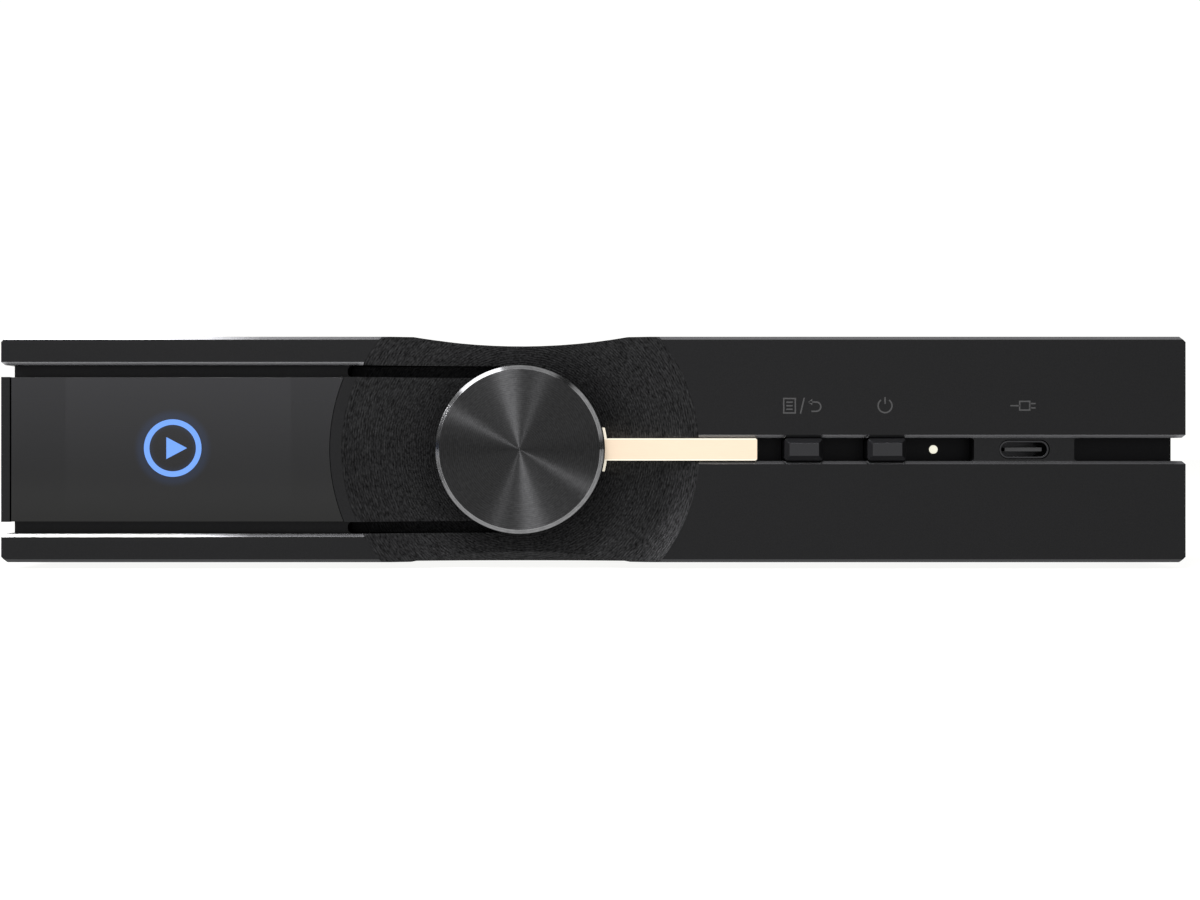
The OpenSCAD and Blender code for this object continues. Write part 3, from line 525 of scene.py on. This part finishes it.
def champagne_aluminium(controls):
    """Champagne anodised aluminium: a pale satin gold with a faint lengthwise brush, and a painted highlight
    along its top and bottom edges, standing in for light on their chamfers.
    """
    finish, tree = new_finish("champagne_anodised_aluminium")
    place = add(tree, "TexCoord", out="Object")
    along = add(tree, "Mapping", {"Vector": place, "Scale": (0.04, 1, 1)})
    brush = add(tree, "TexNoise", {"Vector": along, "Scale": 1 / (0.12 * MM), "Detail": 2.0})
    tone = add(tree, "MapRange", {"Value": brush, "To Min": 0.97, "To Max": 1.03})
    z = add(tree, "SeparateXYZ", {0: place}, out="Z")
    from_axis = add(tree, "Math", {0: z, 1: AXIS_Z}, operation="SUBTRACT")
    from_middle = add(tree, "Math", {0: from_axis}, operation="ABSOLUTE")
    # painted highlight: the bar is paler along its top and bottom edges
    edge_highlight = add(tree, "MapRange", {"Value": from_middle, "From Min": 1.72 * MM, "From Max": 1.86 * MM})
    colour = add(tree, "Mix", {0: edge_highlight, 6: tuple(controls.bar_colour), 7: tuple(controls.bar_edge_highlight_colour)},
                 data_type="RGBA")
    tinted = add(tree, "VectorMath", {0: colour, "Scale": tone}, operation="SCALE")
    relief = add(tree, "Bump", {"Height": brush, "Strength": 0.05, "Distance": 0.01 * MM}, out="Normal")
    close_finish(tree, {"Base Color": tinted, "Metallic": 1.0, "Roughness": 0.42, "Normal": relief})
    return finish


def bevelled_button(controls):
    """A button: a satin anodised face, and a darker colour on its bevels and every other face that does not
    look straight ahead.
    """
    finish, tree = new_finish("satin_anodised_aluminium")
    place = add(tree, "TexCoord", out="Object")
    grit, tone = mottle(tree, place, 0.18 * MM, 2.0, 0.92, 1.08)
    facing = add(tree, "SeparateXYZ", {0: add(tree, "TexCoord", out="Normal")}, out="Y")
    front = add(tree, "Math", {0: facing, 1: -0.9}, operation="LESS_THAN")
    colour = add(tree, "Mix", {0: front, 6: tuple(controls.bevel_colour), 7: tuple(controls.button_colour)},
                 data_type="RGBA")
    tinted = add(tree, "VectorMath", {0: colour, "Scale": tone}, operation="SCALE")
    relief = worn_relief(tree, grit, 0.08, 0.02 * MM, 0.1 * MM)
    close_finish(tree, {"Base Color": tinted, "Metallic": 1.0, "Roughness": 0.36, "Normal": relief})
    return finish


def moulded_plastic(name, colour, roughness, grain_mm=0.3, bump=0.15):
    """Injection-moulded plastic: an even colour with a fine spark-eroded texture."""
    finish, tree = new_finish(name)
    place = add(tree, "TexCoord", out="Object")
    grain = add(tree, "TexVoronoi", {"Vector": place, "Scale": 1 / (grain_mm * MM)}, feature="SMOOTH_F1")
    _, tone = mottle(tree, place, 6 * MM, 2.0, 0.93, 1.07)
    tinted = add(tree, "VectorMath", {0: colour[:3], "Scale": tone}, operation="SCALE")
    rough = add(tree, "MapRange", {"Value": grain, "To Min": roughness - 0.06, "To Max": roughness + 0.06})
    relief = worn_relief(tree, grain, bump, 0.02 * MM, 0.08 * MM)
    close_finish(tree, {"Base Color": tinted, "Roughness": rough, "IOR": 1.49, "Normal": relief})
    return finish


def plated_metal(name, colour, roughness):
    """Plated or bare metal as rolled and stamped: bright, with short streaks and a little cloudiness."""
    finish, tree = new_finish(name)
    place = add(tree, "TexCoord", out="Object")
    along = add(tree, "Mapping", {"Vector": place, "Scale": (1, 0.12, 1)})
    streak = add(tree, "TexNoise", {"Vector": along, "Scale": 1 / (0.15 * MM), "Detail": 2.0})
    _, tone = mottle(tree, place, 3 * MM, 2.0, 0.88, 1.06)
    tinted = add(tree, "VectorMath", {0: colour[:3], "Scale": tone}, operation="SCALE")
    rough = add(tree, "MapRange", {"Value": streak, "To Min": roughness - 0.08, "To Max": roughness + 0.1})
    relief = worn_relief(tree, streak, 0.08, 0.01 * MM, 0.06 * MM)
    close_finish(tree, {"Base Color": tinted, "Metallic": 1.0, "Roughness": rough, "Normal": relief})
    return finish


def board_laminate():
    """Glass-fibre laminate under green solder mask: glossy, with copper tracks showing as lighter bands."""
    finish, tree = new_finish("solder_masked_laminate")
    place = add(tree, "TexCoord", out="Object")
    tracks = add(tree, "TexBrick", {"Vector": place, "Scale": 1 / (6 * MM), "Mortar Size": 0.03,
                                    "Color1": linear("12382a"), "Color2": linear("0f3024"),
                                    "Mortar": linear("2c6a4a")})
    weave = add(tree, "TexNoise", {"Vector": place, "Scale": 1 / (0.5 * MM), "Detail": 1.0})
    relief = add(tree, "Bump", {"Height": weave, "Strength": 0.1, "Distance": 0.02 * MM}, out="Normal")
    close_finish(tree, {"Base Color": tracks, "Roughness": 0.28, "IOR": 1.5, "Normal": relief})
    return finish


def printed_ink(name, colour):
    """Screen-printed or laser-marked ink: matt, thin, and a little uneven where the screen's mesh was."""
    finish, tree = new_finish(name)
    place = add(tree, "TexCoord", out="Object")
    _, tone = mottle(tree, place, 0.2 * MM, 1.0, 0.85, 1.1)
    tinted = add(tree, "VectorMath", {0: colour[:3], "Scale": tone}, operation="SCALE")
    close_finish(tree, {"Base Color": tinted, "Roughness": 0.6})
    return finish


# ---- settings ----------------------------------------------------------------

def colour_setting(name, description, hex_colour):
    """A colour property whose default is an sRGB hex colour."""
    return FloatVectorProperty(name=name, description=description, subtype="COLOR", size=4,
                               min=0, max=1, default=linear(hex_colour))


def length_setting(name, description, millimetres):
    """A length property in metres whose default is given in millimetres."""
    return FloatProperty(name=name, description=description, subtype="DISTANCE", unit="LENGTH",
                         min=0, precision=5, default=millimetres * MM)


class CaseSettings(PropertyGroup):
    """Colours of the anodised case."""
    face_colour: colour_setting("Face", "Blasted black anodising", "252526")
    dish_colour: colour_setting("Dish", "Turned dish", "2a2a2b")
    lip_colour: colour_setting("Lips", "Cut lips and chamfers", "808083")
    # the recess and slot colours are painted shade: darker floors standing in for the light that does not
    # reach them
    recess_shade_colour: colour_setting("Recess", "Floors of the shallow grooves", "1f1f20")
    slot_shade_colour: colour_setting("Slots", "Floors of the deep slots", "151516")
    rear_colour: colour_setting("Rear", "Rear panel", "222224")
    ring_pitch: length_setting("Ring pitch", "Spacing of the lathe rings in the dish", 0.42)


class KnobSettings(PropertyGroup):
    """Colours of the knob."""
    face_colour: colour_setting("Face", "Spun face", "363637")
    side_colour: colour_setting("Side", "Satin side", "2a2a2c")
    rim_colour: colour_setting("Rim", "Bright cut chamfer", "7c7c7e")
    ring_pitch: length_setting("Ring pitch", "Spacing of the spun rings", 0.36)


class DisplaySettings(PropertyGroup):
    """The display window and the symbol that glows in it."""
    glass_colour: colour_setting("Glass", "Glass over the display", "1a1a1c")
    border_colour: colour_setting("Border", "Glass round the display", "161618")
    symbol_colour: colour_setting("Symbol", "Glow of the symbol", "64a0ff")
    symbol_size: length_setting("Symbol size", "Width of the ring round the play triangle", 10.4)
    symbol_line: length_setting("Symbol line", "Width of the ring's line", 1.0)
    # the halo is a painted glow given off by the glass round the symbol
    halo: FloatProperty(name="Halo", description="Strength of the glow round the symbol", min=0, default=0.03)


class ControlSettings(PropertyGroup):
    """The inlaid bar, the buttons and the status light."""
    bar_colour: colour_setting("Bar", "Champagne anodising", "ecd8c1")
    # the bar's edge colour is a painted highlight
    bar_edge_highlight_colour: colour_setting("Bar edge", "The bar's paler edges", "fbf3e2")
    button_colour: colour_setting("Buttons", "Button faces", "363638")
    bevel_colour: colour_setting("Bevels", "Button bevels", "222224")
    light_colour: colour_setting("Light", "Status light", "f3f0de")


class MarkSettings(PropertyGroup):
    """Printed marks."""
    front_colour: colour_setting("Front marks", "Laser marks over the controls", "262627")
    rear_colour: colour_setting("Rear marks", "Printed marks beside the sockets", "d8d8d8")
    line: length_setting("Line", "Width of a drawn line", 0.26)
    rear_size: length_setting("Rear size", "Width of the marks beside the sockets", 3.6)
    proud: length_setting("Thickness", "How far ink stands off the metal", 0.02)
    height: length_setting("Height", "Height of the marks over the controls' axis", 7.9)


class StageSettings(PropertyGroup):
    """Camera, lights and floor."""
    distance: length_setting("Distance", "From the camera to the front face", 350)
    aside: length_setting("Aside", "How far the camera is right of the middle", 1.2)
    below: length_setting("Below", "How far the camera is below the middle", 0.1)
    view_width: length_setting("View width", "Width of the view at the front face", 216.8)
    floor_colour: colour_setting("Floor", "Pale floor", "585857")
    floor_glow: FloatProperty(name="Floor glow", description="Light that comes up through the floor", min=0,
                              default=0.92)
    key: FloatProperty(name="Key light", description="Power of the large upper left light", min=0, default=8,
                       subtype="POWER", unit="POWER")
    strips: FloatProperty(name="Strip lights", description="Power that the strip lights in front share out",
                          min=0, default=3.3, subtype="POWER", unit="POWER")


class PlayerSettings(PropertyGroup):
    """Every group of settings."""
    case: PointerProperty(type=CaseSettings)
    knob: PointerProperty(type=KnobSettings)
    display: PointerProperty(type=DisplaySettings)
    controls: PointerProperty(type=ControlSettings)
    marks: PointerProperty(type=MarkSettings)
    stage: PointerProperty(type=StageSettings)


# ---- drawn symbols -------------------------------------------------------------

def symbol_centre():
    """The middle of the glowing symbol: a little left of the display's, and a little above the axis."""
    return (DISPLAY_LOW.x + DISPLAY_HIGH.x) / 2 - 1.0 * MM, AXIS_Z + 0.25 * MM


def play_symbol(line):
    """A play triangle in a ring whose line is this share of its width."""
    triangle = [(reach * math.cos(angle), reach * math.sin(angle))
                for reach, angle in ((0.25, 0), (0.22, TURN / 3), (0.22, -TURN / 3))]
    return [(ring_path((1 - line) / 2), True)], [triangle]


def power_mark():
    """A broken ring with a line through its gap."""
    return [(arc((0, 0), 0.5, 125, 415, 40), False), ([(0, 0.12), (0, 0.62)], False)], []


def menu_mark():
    """A page with three lines, a stroke, and an arrow that turns back."""
    page_x, turn, bend_radius = -0.78, (0.88, -0.06), 0.29
    lines = [(rectangle((page_x, 0), 0.36, 0.45), True)]
    lines += [([(page_x - 0.198, z), (page_x + 0.198, z)], False) for z in (-0.22, 0, 0.22)]
    lines.append(([(-0.1, -0.495), (0.14, 0.495)], False))
    bend = arc(turn, bend_radius, 90, -90, 16)
    top, bottom = turn[1] + bend_radius, turn[1] - bend_radius
    lines.append((np.concatenate([[(0.46, top)], bend, [(0.58, bottom)]]), False))
    head = [(0.38, top), (0.64, top - 0.2), (0.64, top + 0.2)]
    return lines, [head]


def plug_mark():
    """A plug: a body, two prongs and a short cable."""
    prongs = [([(0.3, z), (0.68, z)], False) for z in (-0.14, 0.14)]
    return [(rectangle((-0.025, 0), 0.325, 0.28), True), ([(-0.35, 0), (-0.95, 0)], False), *prongs], []


def network_mark():
    """Three linked boxes."""
    links = ([(0, 0.2), (0, 0)], [(-0.4, 0), (0.4, 0)], [(-0.4, 0), (-0.4, -0.16)], [(0.4, 0), (0.4, -0.16)])
    boxes = [rectangle(centre, 0.16, 0.16) for centre in ((0, 0.32), (-0.4, -0.3), (0.4, -0.3))]
    return [(link, False) for link in links], boxes


def optical_mark():
    """A dot in a ring."""
    return [(ring_path(0.45, 40), True)], [ring_path(0.14, 20)]


def coaxial_mark():
    """Two rings, one in the other."""
    return [(ring_path(radius, 40), True) for radius in (0.24, 0.48)], []


def output_mark():
    """An arrow that leaves a box."""
    box = [(0.05, 0.3), (0.05, 0.42), (-0.5, 0.42), (-0.5, -0.42), (0.05, -0.42), (0.05, -0.3)]
    head = [(0.62, 0), (0.36, 0.18), (0.36, -0.18)]
    return [(box, False), ([(-0.25, 0), (0.4, 0)], False)], [head]


def direct_current_mark():
    """A long line over three short ones."""
    dashes = [([(x - 0.12, -0.14), (x + 0.12, -0.14)], False) for x in (-0.38, 0, 0.38)]
    return [([(-0.5, 0.14), (0.5, 0.14)], False), *dashes], []


# ---- operators ------------------------------------------------------------------

class PLAYER_OT_stage(Operator):
    """Sets up the floor, the surroundings, the lights and the camera"""
    bl_idname = "player.stage"
    bl_label = "Stage"

    def execute(self, context):
        stage = settings_of(context).stage
        scene = context.scene
        scene.view_settings.view_transform = "Standard"
        scene.view_settings.look = "None"
        self.floor(stage)
        self.surroundings(scene)
        self.lights(stage)
        self.camera(scene, stage)
        return {"FINISHED"}

    @staticmethod
    def floor(stage):
        """A plain square floor that glows evenly."""
        reach = 4.0
        # a hair under the feet, so that no two faces share a plane
        under = -0.02 * MM
        corners = np.column_stack([rectangle((0, 0), reach, reach), np.full(4, under)])
        mesh = bpy.data.meshes.new("floor")
        mesh.from_pydata(corners.tolist(), [], [(0, 1, 2, 3)])
        floor = bpy.data.objects.new("floor", mesh)
        bpy.context.scene.collection.objects.link(floor)
        # opal acrylic lit from below, as on a light table
        finish, tree = new_finish("opal_acrylic")
        place = add(tree, "TexCoord", out="Object")
        cloud = add(tree, "TexNoise", {"Vector": place, "Scale": 1 / (60 * MM)})
        glow = add(tree, "MapRange", {"Value": cloud, "To Min": stage.floor_glow - 0.01,
                                      "To Max": stage.floor_glow + 0.01})
        close_finish(tree, {"Base Color": tuple(stage.floor_colour), "Roughness": 0.9, "IOR": 1.0,
                            "Emission Color": (1, 1, 0.985, 1), "Emission Strength": glow})
        mesh.materials.append(finish)

    @staticmethod
    def surroundings(scene):
        """A white studio: bright in front of and behind the object, dimmer to its sides."""
        world = bpy.data.worlds.new("studio")
        world.use_nodes = True
        tree = world.node_tree
        tree.nodes.clear()
        way = add(tree, "TexCoord", out="Generated")
        beside, ahead, above = (add(tree, "SeparateXYZ", {0: way}, out=axis) for axis in "XYZ")
        ahead = add(tree, "Math", {0: ahead}, operation="ABSOLUTE")
        level = add(tree, "MapRange", {"Value": ahead, "From Min": 0.30, "From Max": 0.75, "To Min": 0.34,
                                       "To Max": 0.98}, interpolation_type="SMOOTHSTEP")
        roof = add(tree, "MapRange", {"Value": above, "From Min": 0.70, "From Max": 0.97, "To Max": 0.9},
                   interpolation_type="SMOOTHSTEP")
        level = add(tree, "Math", {0: level, 1: roof}, operation="MAXIMUM")
        # black cards to both sides, level with the object
        beside, upward = (add(tree, "Math", {0: part}, operation="ABSOLUTE") for part in (beside, above))
        far_side = add(tree, "MapRange", {"Value": beside, "From Min": 0.31, "From Max": 0.42},
                       interpolation_type="SMOOTHSTEP")
        level_with = add(tree, "MapRange", {"Value": upward, "From Min": 0.16, "From Max": 0.04})
        side_cards = add(tree, "Math", {0: far_side, 1: level_with}, operation="MULTIPLY")
        level = darken(tree, level, side_cards)
        # a white card up to the right, then black flags beside it, and level with the knob on both sides
        white = card_mask(tree, way, 29, 17, 8)
        level = add(tree, "Mix", {0: white, 2: level, 3: 1.15})
        for angle, half_width in ((59, 5), (2, 3), (189, 6)):
            level = darken(tree, level, card_mask(tree, way, angle, half_width, 3))
        seen = add(tree, "LightPath", out="Is Camera Ray")
        strength = add(tree, "Mix", {0: seen, 2: level, 3: 1.05})
        sky = add(tree, "Background", {"Color": (1, 1, 0.985, 1), "Strength": strength})
        add(tree, "OutputWorld", {"Surface": sky})
        scene.world = world

    @staticmethod
    def lights(stage):
        """One large light up to the left, and strips in front whose light the turned metal fans out."""
        target = Vector((KNOB_X, KNOB_FACE_Y, AXIS_Z))
        # angle round the knob, angle away from straight ahead, distance, size across and along, power
        plan = {
            "key_light": (121, 82, 1.0, (0.58, 0.80), stage.key),
            "broad_strip": (103, 54, 1.0, (0.20, 0.26), stage.strips * 3.2),
            "thin_strip": (76, 54, 1.0, (0.03, 0.26), stage.strips * 0.8),
            "side_strip": (152, 74, 1.0, (0.10, 0.26), stage.strips * 3.0),
        }
        for name, (round_axis, away, far, size, power) in plan.items():
            turn, lean = math.radians(round_axis), math.radians(away)
            aim = Vector((math.cos(turn) * math.sin(lean), -math.cos(lean), math.sin(turn) * math.sin(lean)))
            lamp = bpy.data.lights.new(name, "AREA")
            lamp.energy = power
            lamp.shape = "RECTANGLE"
            lamp.size, lamp.size_y = size
            holder = bpy.data.objects.new(name, lamp)
            bpy.context.scene.collection.objects.link(holder)
            holder.location = target + aim * far
            across = Vector((-math.sin(turn), 0, math.cos(turn)))
            holder.rotation_euler = Matrix((across, aim.cross(across), aim)).transposed().to_euler()

    @staticmethod
    def camera(scene, stage):
        """Level with the middle of the front, a little to the right of it."""
        lens = bpy.data.cameras.new("front_camera")
        lens.sensor_width = 36
        lens.lens = lens.sensor_width * stage.distance / stage.view_width
        lens.clip_start = 0.01
        lens.clip_end = 50
        holder = bpy.data.objects.new("front_camera", lens)
        scene.collection.objects.link(holder)
        holder.location = (stage.aside, FRONT_Y - stage.distance, AXIS_Z - stage.below)
        holder.rotation_euler = (math.pi / 2, 0, 0)
        scene.camera = holder


class PLAYER_OT_case(Operator):
    """Gives the front panel, covers and rear panel their anodising"""
    bl_idname = "player.case"
    bl_label = "Case"

    def execute(self, context):
        case = settings_of(context).case
        wear(panel_aluminium(case), "front_panel")
        wear(anodised_aluminium("blasted_anodised_aluminium", case.face_colour), "top_cover", "bottom_tray")
        wear(anodised_aluminium("anodised_aluminium_sheet", case.rear_colour, grain_mm=0.3),
             *slot_nodes("anodised_rear"))
        return {"FINISHED"}


class PLAYER_OT_knob(Operator):
    """Gives the knob its spun face and bright rim"""
    bl_idname = "player.knob"
    bl_label = "Knob"

    def execute(self, context):
        wear(spun_knob(settings_of(context).knob), *slot_nodes("knob_metal"))
        return {"FINISHED"}


class PLAYER_OT_display(Operator):
    """Finishes the display window and draws the play symbol that glows in it"""
    bl_idname = "player.display"
    bl_label = "Display"

    def execute(self, context):
        display = settings_of(context).display
        wear(tinted_glass(display), *slot_nodes("dark_glass"))
        wear_plain(plated_metal, {"dark_steel": ("black_steel_sheet", "2c2c30", 0.5)})
        wear_plain(moulded_plastic, {
            "black_adhesive": ("black_foam_tape", "101010", 0.9),
            "display_panel": ("display_glass_module", "101216", 0.2),
            "ribbon_film": ("polyimide_film", "c98a2e", 0.35),
        })
        symbol = play_symbol(display.symbol_line / display.symbol_size)
        wall = (WINDOW_LOW.y, -1, display.symbol_line, 0.02 * MM)
        glow = lit_panel("lit_display_segment", tuple(display.symbol_colour))
        draw_marks("display_symbol", symbol, symbol_centre(), display.symbol_size, wall, glow)
        return {"FINISHED"}


class PLAYER_OT_controls(Operator):
    """Finishes the inlaid bar, the buttons, the status light and the USB-C socket's shell"""
    bl_idname = "player.controls"
    bl_label = "Controls"

    def execute(self, context):
        controls = settings_of(context).controls
        wear(champagne_aluminium(controls), *slot_nodes("champagne_metal"))
        wear(bevelled_button(controls), *slot_nodes("button_metal"))
        wear(lit_panel("lit_acrylic", tuple(controls.light_colour)), "status_light_pipe", "status_led")
        wear(plated_metal("blackened_steel", linear("3a3a3c"), 0.3), "usb_c_shell")
        return {"FINISHED"}


class PLAYER_OT_front_marks(Operator):
    """Draws the marks over the buttons and the USB-C socket"""
    bl_idname = "player.front_marks"
    bl_label = "Front marks"

    def execute(self, context):
        marks = settings_of(context).marks
        ink = printed_ink("laser_marked_anodising", tuple(marks.front_colour))
        height = AXIS_Z + marks.height
        wall = (FRONT_Y, -1, marks.line, marks.proud)
        # which drawing, where its middle is, and its size
        plan = {
            "menu_mark": (menu_mark, middle("menu_button").x - 0.3 * MM, 2.9 * MM),
            "power_mark": (power_mark, middle("power_button").x - 0.3 * MM, 2.5 * MM),
            "socket_mark": (plug_mark, middle("usb_c_shell").x, 2.8 * MM),
        }
        for name, (drawing, x, size) in plan.items():
            draw_marks(name, drawing(), (x, height), size, wall, ink)
        return {"FINISHED"}


class PLAYER_OT_rear_marks(Operator):
    """Draws a mark over each rear socket"""
    bl_idname = "player.rear_marks"
    bl_label = "Rear marks"

    def execute(self, context):
        marks = settings_of(context).marks
        ink = printed_ink("screen_printed_ink", tuple(marks.rear_colour))
        wall = (REAR_Y, 1, marks.line * 1.2, marks.proud)
        # which drawing, the socket it belongs to, and how far aside of it and above its top, in millimetres
        plan = {
            "network_rear_mark": (network_mark, "lan_socket", 0, 3.6),
            "usb_rear_mark": (plug_mark, "usb_host_shells", 0, 3.6),
            "optical_rear_mark": (optical_mark, "optical_socket", 0, 3.6),
            "coaxial_rear_mark": (coaxial_mark, "coax_insulator", 0, 5.6),
            "balanced_rear_mark": (output_mark, "balanced_socket", 0, 3.6),
            "line_rear_mark": (output_mark, "line_left_insulator", 10.5, -10.5),
            "direct_current_rear_mark": (direct_current_mark, "dc_inlet", 0, 3.6),
        }
        for name, (drawing, node, aside, above) in plan.items():
            centre = (middle(node).x + aside * MM, ends(node)[1].z + above * MM)
            draw_marks(name, drawing(), centre, marks.rear_size, wall, ink)
        return {"FINISHED"}


class PLAYER_OT_sockets(Operator):
    """Finishes the rear sockets, and the black nylon and tinned parts elsewhere"""
    bl_idname = "player.sockets"
    bl_label = "Rear sockets"

    def execute(self, context):
        wear_plain(plated_metal, {
            "gold_contacts": ("gold_plated_brass", "d9b15c", 0.2),
            "tinned_can": ("tinned_steel", "c4c6c8", 0.3),
        })
        wear_plain(moulded_plastic, {
            "black_plastic": ("black_nylon", "1b1b1d", 0.5),
            "blue_tongue_plastic": ("blue_nylon", "2a5db0", 0.5),
            "white_insulator": ("white_nylon", "e6e6e0", 0.35),
            "red_insulator": ("red_nylon", "b3201f", 0.35),
        })
        return {"FINISHED"}


class PLAYER_OT_inside(Operator):
    """Finishes the boards and what they carry"""
    bl_idname = "player.inside"
    bl_label = "Inside"

    def execute(self, context):
        wear(board_laminate(), *slot_nodes("circuit_board"))
        wear(anodised_aluminium("black_anodised_fins", linear("2c2d30"), roughness=0.5),
             *slot_nodes("heatsink_black"))
        wear_plain(moulded_plastic, {
            "capacitor_sleeve": ("capacitor_sleeve", "22304a", 0.25),
            "ferrite": ("pressed_ferrite", "3a3632", 0.7),
            "chip_epoxy": ("moulded_epoxy", "18181a", 0.6),
            "nylon_white": ("natural_nylon", "e2e2dc", 0.4),
            "switch_stem_plastic": ("acetal_stem", "c8b070", 0.4),
        })
        return {"FINISHED"}


class PLAYER_OT_hardware(Operator):
    """Finishes the feet, screws, nuts and turned metal parts"""
    bl_idname = "player.hardware"
    bl_label = "Feet and fasteners"

    def execute(self, context):
        wear(moulded_plastic("nitrile_rubber", linear("171717"), 0.8, 0.5, 0.3), *slot_nodes("foot_rubber"))
        wear_plain(plated_metal, {
            "black_screws": ("black_oxide_steel", "2b2b2e", 0.35),
            "brass_parts": ("turned_brass", "c79a45", 0.25),
        })
        zinc = [node for node in slot_nodes("zinc_steel") if node != "usb_c_shell"]
        wear(plated_metal("zinc_plated_steel", linear("b9bcbf"), 0.3), *zinc)
        return {"FINISHED"}


class PLAYER_PT_sidebar(Panel):
    """Lists the operators and their settings"""
    bl_idname = "PLAYER_PT_sidebar"
    bl_label = "Audio player"
    bl_space_type = "VIEW_3D"
    bl_region_type = "UI"
    bl_category = "Audio player"

    def draw(self, context):
        for operator in OPERATORS:
            self.layout.operator(operator.bl_idname)
        for group_name in ("case", "knob", "display", "controls", "marks", "stage"):
            group = getattr(settings_of(context), group_name)
            box = self.layout.box()
            box.label(text=group_name.title())
            for name in group.__annotations__:
                box.prop(group, name)


SETTINGS = (CaseSettings, KnobSettings, DisplaySettings, ControlSettings, MarkSettings, StageSettings,
            PlayerSettings)
OPERATORS = (PLAYER_OT_stage, PLAYER_OT_case, PLAYER_OT_knob, PLAYER_OT_display, PLAYER_OT_controls,
             PLAYER_OT_front_marks, PLAYER_OT_rear_marks, PLAYER_OT_sockets, PLAYER_OT_inside,
             PLAYER_OT_hardware)


def register():
    """Registers the settings, operators and panel."""
    for kind in (*SETTINGS, *OPERATORS, PLAYER_PT_sidebar):
        bpy.utils.register_class(kind)
    bpy.types.Scene.audio_player = PointerProperty(type=PlayerSettings)


def unregister():
    """Undoes register."""
    del bpy.types.Scene.audio_player
    for kind in reversed((*SETTINGS, *OPERATORS, PLAYER_PT_sidebar)):
        bpy.utils.unregister_class(kind)


def main():
    """Makes everything."""
    register()
    for operator in OPERATORS:
        group, name = operator.bl_idname.split(".")
        getattr(getattr(bpy.ops, group), name)()


if __name__ == "__main__":
    main()
